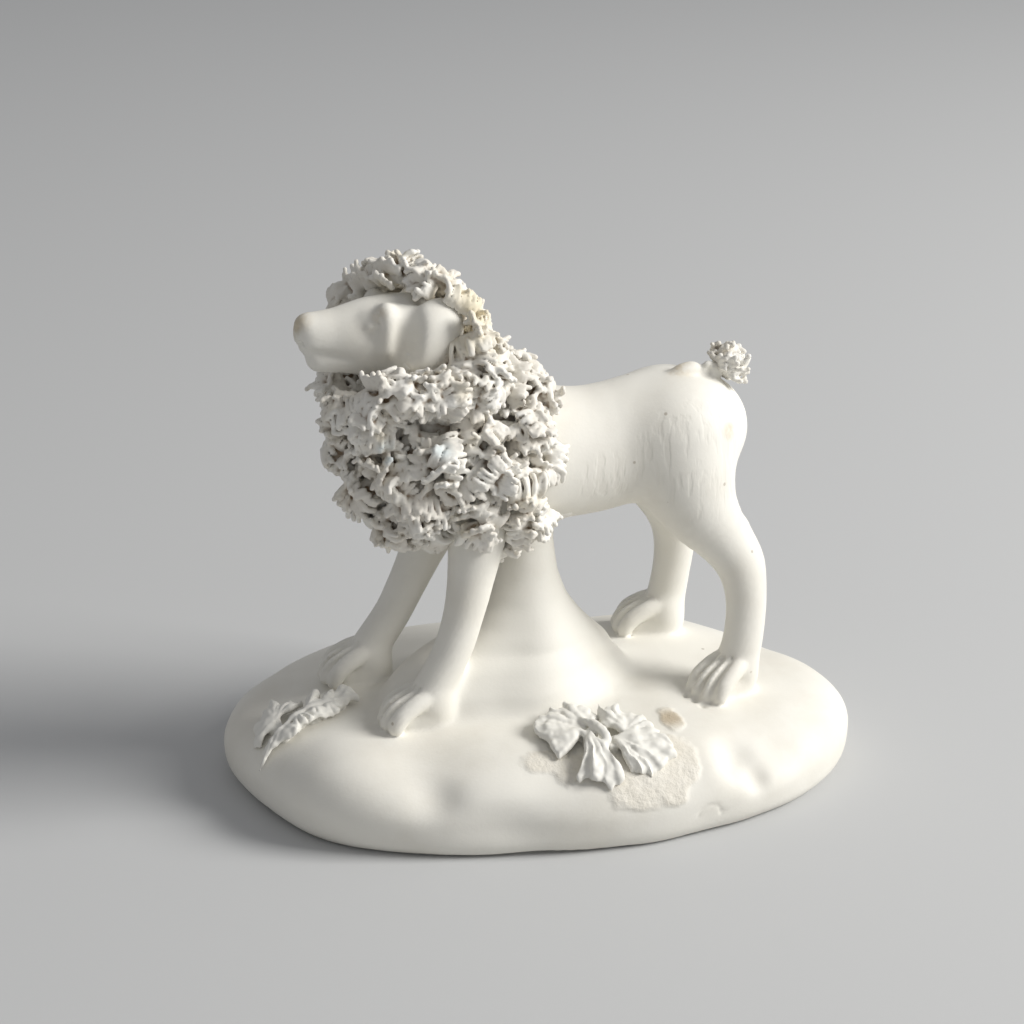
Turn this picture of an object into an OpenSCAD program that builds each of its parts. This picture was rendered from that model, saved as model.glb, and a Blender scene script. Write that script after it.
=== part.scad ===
// Unglazed porcelain dog figurine: a lion-clipped dog on a mound base.
// Millimetres, +Z up, origin at the centre of the base underside.
// The base runs along X, the dog faces -X, its left side is toward -Y.

/* [Base] */
// length of the mound along X
base_l = 80.6; // [76:0.2:88]
// width of the mound along Y
base_w = 53.8; // [51:0.2:59]
// height of the mound where the paws stand
base_h = 10.8; // [10:0.2:12]
// thickness of the mound shell
wall = 3.2; // [2.4:0.2:3.8]
// thickness of the slab that closes the underside
floor_t = 2.4; // [1.8:0.2:3]
// vent hole in the slab
vent_d = 4.5; // [3:0.5:7]
// radius of the stump where it meets the belly
stump_r = 3.9; // [3.2:0.1:4.6]

/* [Dog] */
// turn of the dog on its base
dog_yaw = 8.6; // [4:0.2:12]
// radius of the barrel behind the mane
barrel_r = 8.1; // [7.4:0.1:8.8]
// radius of the haunch
haunch_r = 7.6; // [7:0.1:8.2]
// lower leg radius
leg_r = 2.4; // [2:0.1:2.9]
// half spacing of the fore paws
fore_gap = 7; // [6:0.2:7.8]
// half spacing of the hind paws
hind_gap = 8.9; // [8:0.2:9.8]
// skull radius
skull_r = 5; // [4.6:0.1:5.4]
// length of the muzzle in front of the brow
muzzle_l = 10.4; // [9:0.2:12]
// long half axis of an ear
ear_l = 4.2; // [3.6:0.1:4.8]

/* [Applied clay] */
// radius of one bunch of shredded clay
bunch_r = 3.2; // [2.8:0.1:3.5]
// half length of the ruff over the chest
ruff_l = 13.8; // [13:0.2:14.6]
// half width of the ruff
ruff_w = 10.4; // [9.6:0.2:11.2]
// radius of the tail tuft
tuft_r = 2.9; // [2.5:0.1:3.4]
// length of the leaf on the side of the mound
side_leaf_l = 13.5; // [11:0.5:15]
// reach of the leaves on the front of the mound
front_leaf_l = 7.4; // [6.4:0.2:8.4]

/* [Hidden] */
fnBody = 20;
fnLimb = 16;
fnBunch = 9;

// ---------- helpers ----------
// points are [x, y, z, radius]; a tube is a skin of oval rings along a smooth curve
function crom(a, b, c, d, t) = 0.5 * (2 * b + (c - a) * t
  + (2 * a - 5 * b + 4 * c - d) * t * t + (3 * b - a - 3 * c + d) * t * t * t);
function smooth(p, n) = [for (i = [0 : len(p) - 2], k = [0 : n - 1])
  crom(p[max(i - 1, 0)], p[i], p[i + 1], p[min(i + 2, len(p) - 1)], k / n), p[len(p) - 1]];
function hash(i) = abs(sin(i * 12.9898) * 43.758) % 1;
function unit(v) = v / norm(v);
function xyz(p) = [p[0], p[1], p[2]];
function dir(p, i) = unit(xyz(p[min(i + 1, len(p) - 1)]) - xyz(p[max(i - 1, 0)]));
function flank(t) = unit([0, 1, 0] - t * t[1]);
function ring(c, t, r, thin, n) = let (s = flank(t), u = cross(t, s))
  [for (k = [0 : n - 1]) c + r * (thin * cos(k * 360 / n) * s + sin(k * 360 / n) * u)];
function cap(p, i, way, a, thin, n) = let (t = dir(p, i))
  ring(xyz(p[i]) + t * (way * p[i][3] * sin(a)), t, p[i][3] * cos(a), wide(p[i], thin), n);
function wide(q, thin) = len(q) > 4 ? q[4] : thin;

// closed skin over rows of n points each
module skin(rows) {
  n = len(rows[0]);
  m = len(rows);
  polyhedron(
    points = [for (r = rows, q = r) q],
    faces = concat(
      [[for (k = [0 : n - 1]) k]],
      [[for (k = [0 : n - 1]) m * n - 1 - k]],
      [for (j = [0 : m - 2], k = [0 : n - 1]) [j * n + k, (j + 1) * n + k, j * n + (k + 1) % n]],
      [for (j = [0 : m - 2], k = [0 : n - 1])
        [j * n + (k + 1) % n, (j + 1) * n + k, (j + 1) * n + (k + 1) % n]]),
    convexity = 6);
}

module tube(p, thin = 1, n = fnLimb) {
  e = len(p) - 1;
  skin(concat(
    [for (a = [68, 36]) cap(p, 0, -1, a, thin, n)],
    [for (i = [0 : e]) ring(xyz(p[i]), dir(p, i), p[i][3], wide(p[i], thin), n)],
    [for (a = [36, 68]) cap(p, e, 1, a, thin, n)]));
}

// short run of hulled balls, for toes and small ridges
module chain(p, n = 9) {
  for (i = [0 : len(p) - 2])
    hull() {
      translate(xyz(p[i]))
        sphere(r = p[i][3], $fn = n);
      translate(xyz(p[i + 1]))
        sphere(r = p[i + 1][3], $fn = n);
    }
}

module onDog() {
  rotate([0, 0, dog_yaw])
    children();
}

// half space on the +Z side of a plane through c, tipped by pitch about Y
module above(c, pitch) {
  translate(c)
    rotate([0, pitch, 0])
      translate([-60, -60, 0])
        cube([120, 120, 80]);
}

// ---------- base ----------
moundProfile = [[0.958, 0.3], [0.988, 1.6], [1, 3.6], [0.997, 5.4], [0.97, 7.1], [0.92, 8.5], [0.84, 9.6],
  [0.72, 10.4], [0.56, 10.9], [0.36, 11.3], [0.12, 11.5]];
caveProfile = [[0.97, 0.3], [1, 3.6], [0.97, 7.1], [0.84, 9.6], [0.5, 11], [0.12, 11.4]];
function bump(a) = 1 + 0.01 * sin(4 * a + 200) + 0.006 * sin(6 * a + 110) + 0.012 * exp(-pow((a - 222) / 16, 2));
function dent(x, y, cx, cy, w, d) = d * exp(-(pow(x - cx, 2) + pow(y - cy, 2)) / (w * w));
function relief(x, y) = -dent(x, y, 26, -19, 4.5, 1.2) - dent(x, y, -17, -18, 5, 0.8)
  + dent(x, y, -29, -13, 6, 0.5) + dent(x, y, 15, -12, 8, 0.4) - dent(x, y, -1, -24, 5, 0.6);
function moundRow(q, inset, n) = [for (k = [0 : n - 1]) let (
  a = k * 360 / n,
  x = (base_l / 2 - inset) * q[0] * bump(a) * cos(a),
  y = (base_w / 2 - inset) * q[0] * bump(a) * sin(a))
  [x, y, (q[1] + (q[1] > 5 ? relief(x, y) : 0)) * base_h / 10.8 - inset]];
// height and tilt of the top of the mound at a point
function topZ(x, y) = let (q = norm([x / (base_l / 2), y / (base_w / 2)]))
  (lookup(q, [for (p = moundProfile) if (p[1] > 5) p]) + relief(x, y)) * base_h / 10.8;
module onMound(x, y) {
  translate([x, y, topZ(x, y)])
    rotate([atan((topZ(x, y + 1) - topZ(x, y - 1)) / 2), -atan((topZ(x + 1, y) - topZ(x - 1, y)) / 2), 0])
      children();
}

module moundForm() {
  skin([for (q = moundProfile) moundRow(q, 0, 40)]);
}

module caveForm() {
  skin([for (q = caveProfile) moundRow(q, wall, 24)]);
}

slabIn = wall * 0.75;
module slabOutline() {
  a = base_l / 2 - slabIn;
  b = base_w / 2 - slabIn;
  polygon([for (i = [0 : 47]) let (t = i * 7.5) [a * bump(t) * cos(t), b * bump(t) * sin(t)]]);
}

stumpRows = [[0.6, 37, 0], [0.4, 31, 0], [0.1, 26.5, 0.6], [-0.5, 23.2, 1.8], [-1.5, 20.6, 3.7],
  [-2.6, 18.4, 5.9], [-3.7, 16.5, 8.5], [-4.2, 14.9, 10.4], [-4.3, 13.5, 11.8], [-4.2, 12.3, 12.6],
  [-4.1, 11, 13], [-4, 9.6, 13.2]];
module stumpForm() {
  skin([for (i = [len(stumpRows) - 1 : -1 : 0]) let (q = stumpRows[i], w = stump_r + q[2])
    [for (k = [0 : 17]) let (a = k * 20, f = 1 + 0.05 * min(q[2] / 6, 1) * sin(4 * a + 20))
      [q[0] + w * f * cos(a), -0.4 + w * f * sin(a) * max(0.62, 0.9 - 0.04 * q[2]), q[1]]]]);
}

// ---------- dog ----------
bodyPts = [[-15, 0, 43.4, 6.4, 0.9], [-11, 0, 42.8, 8.4, 0.9], [-4, 0, 42.2, 8.8, 0.88],
  [4.2, 0, 41.8, barrel_r + 0.1, 0.86], [9, 0, 42.2, barrel_r - 0.1, 0.86], [13, 0, 43, barrel_r - 0.3, 0.94],
  [17, 0, 43.3, haunch_r, 1], [20.4, 0, 43.4, haunch_r - 0.5, 1]];
neckPts = [[-10.5, 0, 44.5, 8], [-12.6, 0, 49.5, 7.2], [-14.4, 0, 54, 6.2], [-15.4, 0, 57.5, 5]];

foreZ = 32.5;
hindZ = 33.5;
leadFore = 4.6;
leadHind = 3.6;
paw_z = base_h + 0.2;
function forePts(s, lead) = [[-8.6, s * 4, 41, 4.4], [-9.4 - lead * 0.3, s * 5, 35, 3.7],
  [-10.4 - lead * 0.6, s * (fore_gap - 1.3), 29.5, leg_r + 0.6],
  [-11.6 - lead * 0.8, s * (fore_gap - 0.7), 24.5, leg_r + 0.1],
  [-13.2 - lead * 0.9, s * (fore_gap - 0.2), 20, leg_r],
  [-15.4 - lead, s * fore_gap, 15.8, leg_r + 0.1], [-16.6 - lead, s * fore_gap, 13.6, leg_r + 0.1]];
function hindPts(s, lead) = [[17.2, s * 3.1, 43.4, haunch_r - 0.7], [17.6, s * 3.9, 39.4, haunch_r - 1.1],
  [19.1 - lead * 0.2, s * 5.2, 35, haunch_r - 2.6], [21.9 - lead * 0.6, s * (hind_gap - 2.3), 30.8, leg_r + 1.3],
  [24.1 - lead * 0.9, s * (hind_gap - 1.3), 27, leg_r + 0.7],
  [24.8 - lead, s * (hind_gap - 0.5), 22.5, leg_r + 0.2],
  [24.4 - lead, s * hind_gap, 17.8, leg_r + 0.2], [23.6 - lead, s * hind_gap, 14, leg_r + 0.4]];

// c is the ankle, splay turns the toes outward
module paw(c, splay, len) {
  translate([c[0], c[1], 0])
    rotate([0, 0, splay]) {
      for (k = [-1.5 : 1 : 1.5]) {
        reach = len - 0.32 * k * k;
        chain([[0.3, k * 0.7, c[2], 1.5],
          [-reach * 0.4, k * 1.15, paw_z + 2.5, 1.35],
          [-reach * 0.75, k * 1.4, paw_z + 1.2, 1.2],
          [-reach + 1, k * 1.45, paw_z + 0.1, 0.95]]);
      }
      chain([[0.2, 0, c[2], 2.4], [0.3, 0, paw_z + 0.9, 2.3], [-len * 0.5, 0, paw_z + 0.3, 2.1]], 10);
    }
}

module foreForm(s, lead) {
  tube(smooth(forePts(s, lead), 2), 0.95);
  paw([-16 - lead, s * fore_gap, 14], 0, 6.4);
}

module hindForm(s, lead) {
  tube(smooth(hindPts(s, lead), 2), 0.86);
  paw([23.6 - lead, s * hind_gap, 14], s < 0 ? 24 : -14, 6.4);
}

neckSeat = [-14.8, 0, 54.4];
neckTip = -20;
module neckForm() {
  tube(smooth(neckPts, 2), 0.86, fnBody);
}

// body, neck and legs in one skin, before they are parted
module wholeForm() {
  bodyForm();
  neckForm();
  foreForm(-1, 0);
  foreForm(1, leadFore);
  hindForm(-1, 0);
  hindForm(1, leadHind);
}

module bodyForm() {
  tube(smooth(bodyPts, 2), 0.9, fnBody);
}

module legRoots() {
  for (s = [-1, 1]) {
    intersection() {
      foreForm(s, s > 0 ? leadFore : 0);
      above([0, 0, foreZ], 0);
    }
    intersection() {
      hindForm(s, s > 0 ? leadHind : 0);
      above([0, 0, hindZ], 0);
    }
  }
}

module torsoForm() {
  difference() {
    union() {
      bodyForm();
      neckForm();
      legRoots();
    }
    above(neckSeat, neckTip);
  }
}

skull = [-17.8, 0, 58.7];
noseX = skull[0] - muzzle_l;
module skullForm() {
  tube(smooth([[-12.8, 0, 58.6, skull_r - 1.6], [-15, 0, 58.7, skull_r - 0.4], [skull[0], 0, 58.7, skull_r],
    [-21.2, 0, 58.4, skull_r - 0.5, 0.74], [(noseX + skull[0]) / 2 - 1, 0, 57.9, 4.4, 0.68],
    [noseX + 2.2, 0, 58, 3.9, 0.7], [noseX + 1, 0, 58.5, 3.2, 0.76]], 2), 0.82, fnBody);
  for (s = [-1, 1])
    chain(smooth([[-17.2, s * 2.8, 61.2, 1.7], [-19.4, s * 2.8, 61.5, 1.43], [-21.6, s * 2.1, 60.9, 1.1]], 2), 8);
  chain([[noseX - 0.25, -0.37, 60.21, 1.46], [noseX - 0.15, 0.43, 60.27, 1.43]], 10);
}

module headForm() {
  intersection() {
    union() {
      neckForm();
      skullForm();
    }
    above(neckSeat, neckTip);
  }
}

module earForm(s, grow = 0) {
  translate([-14.5, s * 4.2, 59.8])
    rotate([s * 12, 36, 0])
      scale([ear_l - 0.9 + grow, 1.5 + grow, ear_l + 0.2 + grow])
        rotate([90, 0, 0])
          sphere(r = 1, $fn = 14);
}

// room kept free of clay so the near side of the face shows
module faceRoom() {
  for (d = [[0, 0, 0], [-1.5, -4.5, 2], [-3, -9, 4]])
    translate(d) {
      earForm(-1, 0.2);
      tube([[-15, -1, 60.4, 3.8], [-20, -1, 60, 4], [-24, -1, 59.6, 3.6]]);
    }
}

// ---------- shredded clay ----------
ruffFront = [-14.2, 0, 44.2];
ruffRear = [-7.4, 0, 43];
ruffFrontAxes = [ruff_l - 3.8, ruff_w, 9.7];
// the mane rides on the barrel
swell = barrel_r - 8.1;
ruffRearAxes = [ruff_l - 4.8, ruff_w, 10.8 + swell];
function fib(i, n) = let (z = 1 - 2 * (i + 0.5) / n, r = sqrt(1 - z * z), t = i * 137.508)
  [r * cos(t), r * sin(t), z];
function times(a, b) = [a[0] * b[0], a[1] * b[1], a[2] * b[2]];
function inside(p, c, ax) = norm([(p[0] - c[0]) / ax[0], (p[1] - c[1]) / ax[1], (p[2] - c[2]) / ax[2]]);

module bunch(p, r) {
  translate(p)
    sphere(r = r, $fn = fnBunch);
}

module blob(c, ax) {
  translate(c)
    scale(ax)
      sphere(r = 1, $fn = fnBody);
}

hoodPts = [[-20, 9, 57.4, 2.5], [-22, 8.8, 60.8, 2.5], [-20, 6.6, 63.8, 2.6], [-17.2, 2.6, 65.5, 2.9],
  [-14, -1, 64.9, 2.9], [-11.2, -3.8, 62.6, 2.8], [-9.6, -6.4, 59, 2.8], [-9.2, -8.4, 54.8, 3]];
backPts = [[-14.4, 7.6, 61.4, 2.8], [-11.6, 4, 62.4, 3], [-9.6, 0, 60.6, 3], [-8.2, -3.4, 56.8, 3.2],
  [-9.8, 7.2, 57.6, 3.2], [-7.6, 2.6, 56.2, 3.2]];
cheekPts = [[-20.6, -7.6, 54.3, 3.1], [-17.4, -8.6, 54.2, 3.1], [-22.6, -6.4, 51, 3], [-25.2, -2.5, 50.3, 2.8], [-24.6, 4.2, 51, 2.8],
  [-22, 8.4, 53.4, 3], [-13.6, -9.6, 54, 2.8], [-17.4, 10.2, 54.4, 3], [-13, 9.8, 55, 3],
  [-4.6, -5, 53.2 + swell, 2.8], [-2.8, 0.6, 52.4 + swell, 3.1], [-4.9, 5.9, 52.9 + swell, 2.9]];

module maneForm() {
  n = 38;
  for (i = [0 : n - 1]) {
    d = fib(i, n);
    p = ruffFront + times(d, ruffFrontAxes);
    q = ruffRear + times(d, ruffRearAxes);
    if (d[2] < 0.6 && inside(p, ruffRear, ruffRearAxes) > 0.96)
      bunch(p, bunch_r * (0.84 + 0.3 * hash(i)));
    if (d[2] < 0.86 && inside(q, ruffFront, ruffFrontAxes) > 0.96)
      bunch(q, bunch_r * (0.84 + 0.3 * hash(i + 99)));
  }
  blob(ruffFront, ruffFrontAxes);
  blob(ruffRear, ruffRearAxes);
  for (p = concat(hoodPts, backPts, cheekPts))
    bunch(xyz(p), p[3] * bunch_r / 3.1);
  chain([for (p = hoodPts) [p[0], p[1], p[2], 2]], 6);
  blob([-13.6, 0, 54], [8.6, 8.6, 8.4]);
  blob([-12.4, 2.4, 59.6], [4.6, 6.6, 5]);
}

module maneCut() {
  wholeForm();
  skullForm();
  earForm(-1);
  earForm(1);
  faceRoom();
  stumpForm();
}

splitV = 0.57;
module side(s) {
  if (s < 0)
    translate([-60, -60, 0])
      cube([120, 60 + splitV, 100]);
  else
    translate([-60, splitV, 0])
      cube([120, 60, 100]);
}

module box(a, b) {
  translate([a[0], -40, a[1]])
    cube([b[0] - a[0], 80, b[1] - a[1]]);
}

crestZ = 57.63;
collarZ = 49.13;
collarX = -15.43;
ruffX = -12.03;
module maneNode(s, a, b) {
  onDog()
    difference() {
      intersection() {
        maneForm();
        side(s);
        box(a, b);
      }
      maneCut();
    }
}

// ---------- leaves ----------
// one ruffled lobe: overlapping pleats fanned from a stalk, their tips rising and falling
module lobe(len, w, lift, pleats) {
  for (i = [0 : pleats - 1]) {
    k = i - (pleats - 1) / 2;
    hull() {
      translate([0, k * 0.3, -0.5])
        sphere(r = 0.95, $fn = 6);
      translate([len * (1 - 0.07 * k * k), k * w / pleats, lift * (i % 2 == 0 ? 0.3 : 0.9)])
        sphere(r = 0.62 * w / pleats, $fn = 6);
    }
  }
}

// ---------- named pieces ----------
module base_mound() {
  color([0.87, 0.86, 0.82])
    difference() {
      moundForm();
      caveForm();
      translate([0, 0, -1])
        linear_extrude(floor_t + 1)
          slabOutline();
    }
}

module base_floor() {
  color([0.84, 0.83, 0.79])
    difference() {
      linear_extrude(floor_t)
        slabOutline();
      translate([0, 0, -1])
        cylinder(h = floor_t + 2, d = vent_d, $fn = 36);
    }
}

module stump() {
  color([0.88, 0.87, 0.83])
    difference() {
      onDog()
        difference() {
          stumpForm();
          wholeForm();
        }
      moundForm();
    }
}

module torso() {
  color([0.89, 0.88, 0.84])
    onDog()
      torsoForm();
}

module head() {
  color([0.9, 0.89, 0.85])
    onDog()
      headForm();
}

module ear(s) {
  color([0.88, 0.87, 0.82])
    onDog()
      difference() {
        earForm(s);
        skullForm();
        neckForm();
      }
}

module ear_left() {
  ear(-1);
}

module ear_right() {
  ear(1);
}

module legOnly(z) {
  color([0.88, 0.87, 0.83])
    difference() {
      onDog()
        difference() {
          children();
          above([0, 0, z], 0);
        }
      moundForm();
    }
}

module fore_leg_left() {
  legOnly(foreZ)
    foreForm(-1, 0);
}

module fore_leg_right() {
  legOnly(foreZ)
    foreForm(1, leadFore);
}

module hind_leg_left() {
  legOnly(hindZ)
    hindForm(-1, 0);
}

module hind_leg_right() {
  legOnly(hindZ)
    hindForm(1, leadHind);
}

tailPts = [[17.6, -0.6, 50.4, 1.1], [20, -0.4, 50.9, 1.1], [22.6, -0.1, 50.6, 1.2], [24, 0, 51.4, 1]];
module tailForm() {
  chain(smooth(tailPts, 2), 10);
}

module tail() {
  color([0.86, 0.84, 0.77])
    onDog()
      difference() {
        tailForm();
        torsoForm();
      }
}

module tail_tuft() {
  color([0.8, 0.78, 0.72])
    onDog()
      difference() {
        union() {
          for (i = [0 : 6])
            bunch([24.3, 0, 51.4] + fib(i, 7) * tuft_r * 0.64, tuft_r * (0.46 + 0.12 * hash(i + 3)));
          bunch([24.3, 0, 51.4], tuft_r * 0.8);
        }
        tailForm();
        torsoForm();
      }
}

module crest_left() {
  color([0.8, 0.78, 0.72])
    maneNode(-1, [-40, crestZ], [20, 90]);
}

module crest_right() {
  color([0.79, 0.77, 0.71])
    maneNode(1, [-40, crestZ], [20, 90]);
}

module cheek_left() {
  color([0.78, 0.76, 0.7])
    maneNode(-1, [-40, collarZ], [collarX, crestZ]);
}

module cheek_right() {
  color([0.77, 0.75, 0.69])
    maneNode(1, [-40, collarZ], [collarX, crestZ]);
}

module nape_left() {
  color([0.8, 0.78, 0.73])
    maneNode(-1, [collarX, collarZ], [20, crestZ]);
}

module nape_right() {
  color([0.79, 0.77, 0.72])
    maneNode(1, [collarX, collarZ], [20, crestZ]);
}

module chest_left() {
  color([0.77, 0.75, 0.69])
    maneNode(-1, [-40, 10], [ruffX, collarZ]);
}

module chest_right() {
  color([0.76, 0.74, 0.68])
    maneNode(1, [-40, 10], [ruffX, collarZ]);
}

module shoulder_left() {
  color([0.79, 0.77, 0.72])
    maneNode(-1, [ruffX, 10], [20, collarZ]);
}

module shoulder_right() {
  color([0.78, 0.76, 0.71])
    maneNode(1, [ruffX, 10], [20, collarZ]);
}

module leaf_side() {
  mid = [-30.4, -7.2];
  way = [cos(36), sin(36)];
  color([0.83, 0.8, 0.74])
    difference() {
      union() {
        chain([for (i = [-2.2 : 2.2 : 2.2]) let (p = mid + way * i * side_leaf_l / 6)
          [p[0], p[1], topZ(p[0], p[1]) + 0.1, 1]], 6);
        for (i = [-2 : 2]) {
          p = mid + way * i * side_leaf_l / 6;
          onMound(p[0], p[1])
            rotate([0, 0, i % 2 == 0 ? 112 : -78])
              translate([-1, 0, 0.5])
                lobe(3.4, 4, 0.8, 3);
        }
      }
      moundForm();
    }
}

module leaf_front() {
  color([0.83, 0.8, 0.74])
    difference() {
      onMound(5, -16.4)
        for (i = [0 : 3])
          rotate([0, 0, [166, 352, 258, 42][i]])
            translate([0.4, 0, 0.3])
              lobe(front_leaf_l * [0.95, 1, 0.72, 0.8][i], 5.8, 0.8, 4);
      moundForm();
    }
}

base_mound();
base_floor();
stump();
torso();
head();
ear_left();
ear_right();
fore_leg_left();
fore_leg_right();
hind_leg_left();
hind_leg_right();
tail();
tail_tuft();
crest_left();
crest_right();
cheek_left();
cheek_right();
nape_left();
nape_right();
chest_left();
chest_right();
shoulder_left();
shoulder_right();
leaf_side();
leaf_front();
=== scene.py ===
import math

import bpy
import numpy as np
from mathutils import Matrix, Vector
from mathutils.bvhtree import BVHTree
from mathutils.kdtree import KDTree


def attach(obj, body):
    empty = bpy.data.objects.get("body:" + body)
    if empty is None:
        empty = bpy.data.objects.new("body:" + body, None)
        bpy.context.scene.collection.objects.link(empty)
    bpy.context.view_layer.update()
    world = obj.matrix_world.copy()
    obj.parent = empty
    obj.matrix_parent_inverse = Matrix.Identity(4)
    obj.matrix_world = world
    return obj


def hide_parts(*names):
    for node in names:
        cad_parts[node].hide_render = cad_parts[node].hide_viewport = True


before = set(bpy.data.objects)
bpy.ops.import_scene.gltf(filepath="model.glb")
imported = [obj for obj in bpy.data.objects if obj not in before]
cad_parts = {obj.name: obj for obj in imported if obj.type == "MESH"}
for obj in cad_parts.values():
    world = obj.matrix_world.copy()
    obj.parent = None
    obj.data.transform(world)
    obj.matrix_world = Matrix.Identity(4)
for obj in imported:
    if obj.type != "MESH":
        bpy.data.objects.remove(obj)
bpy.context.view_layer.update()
print("frame loaded")

# camera
cameraView = {"place": (-0.0407, -0.2652, 0.1425), "down": 22.0, "turn": -8.0, "lens": 81.5}


def setCamera():
    data = bpy.data.cameras.new("studioCamera")
    data.lens = cameraView["lens"]
    data.sensor_width = 36.0
    data.clip_start = 0.01
    camera = bpy.data.objects.new("studioCamera", data)
    camera.location = cameraView["place"]
    camera.rotation_euler = (math.radians(90 - cameraView["down"]), 0, math.radians(cameraView["turn"]))
    bpy.context.scene.collection.objects.link(camera)
    bpy.context.scene.camera = camera


setCamera()

# working clay: a block of distances, in millimetres
# the dog faces -x in this frame and its left side is -y; the base is turned under it
claySettings = {"step": 0.25, "reach": 2.4, "low": (-43.0, -32.0, -0.4), "high": (43.0, 32.0, 66.5),
                "dogTurn": 8.6, "rounds": 3, "kept": 0.5}


def turnPoints(points, degrees):
    a = math.radians(degrees)
    out = np.array(points, dtype=float)
    out[..., 0] = points[..., 0] * math.cos(a) - points[..., 1] * math.sin(a)
    out[..., 1] = points[..., 0] * math.sin(a) + points[..., 1] * math.cos(a)
    return out


def smoothPath(points, fine=4):
    # a curve through rows of x, y, z, radius and sideways width
    rows = np.array([tuple(p) + ((1.0,) if len(p) == 4 else ()) for p in points], float)
    path = []
    for i in range(len(rows) - 1):
        a, b = rows[max(i - 1, 0)], rows[i]
        c, d = rows[i + 1], rows[min(i + 2, len(rows) - 1)]
        for t in np.arange(fine) / fine:
            path.append(0.5 * (2 * b + (c - a) * t + (2 * a - 5 * b + 4 * c - d) * t * t
                               + (3 * b - a - 3 * c + d) * t ** 3))
    path.append(rows[-1])
    return np.array(path)


def meet(a, b, blend):
    # the nearer of two distances, rounded where they come together
    if blend <= 0:
        return np.minimum(a, b)
    h = np.maximum(blend - np.abs(a - b), 0) / blend
    return np.minimum(a, b) - h * h * blend * 0.25


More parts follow.
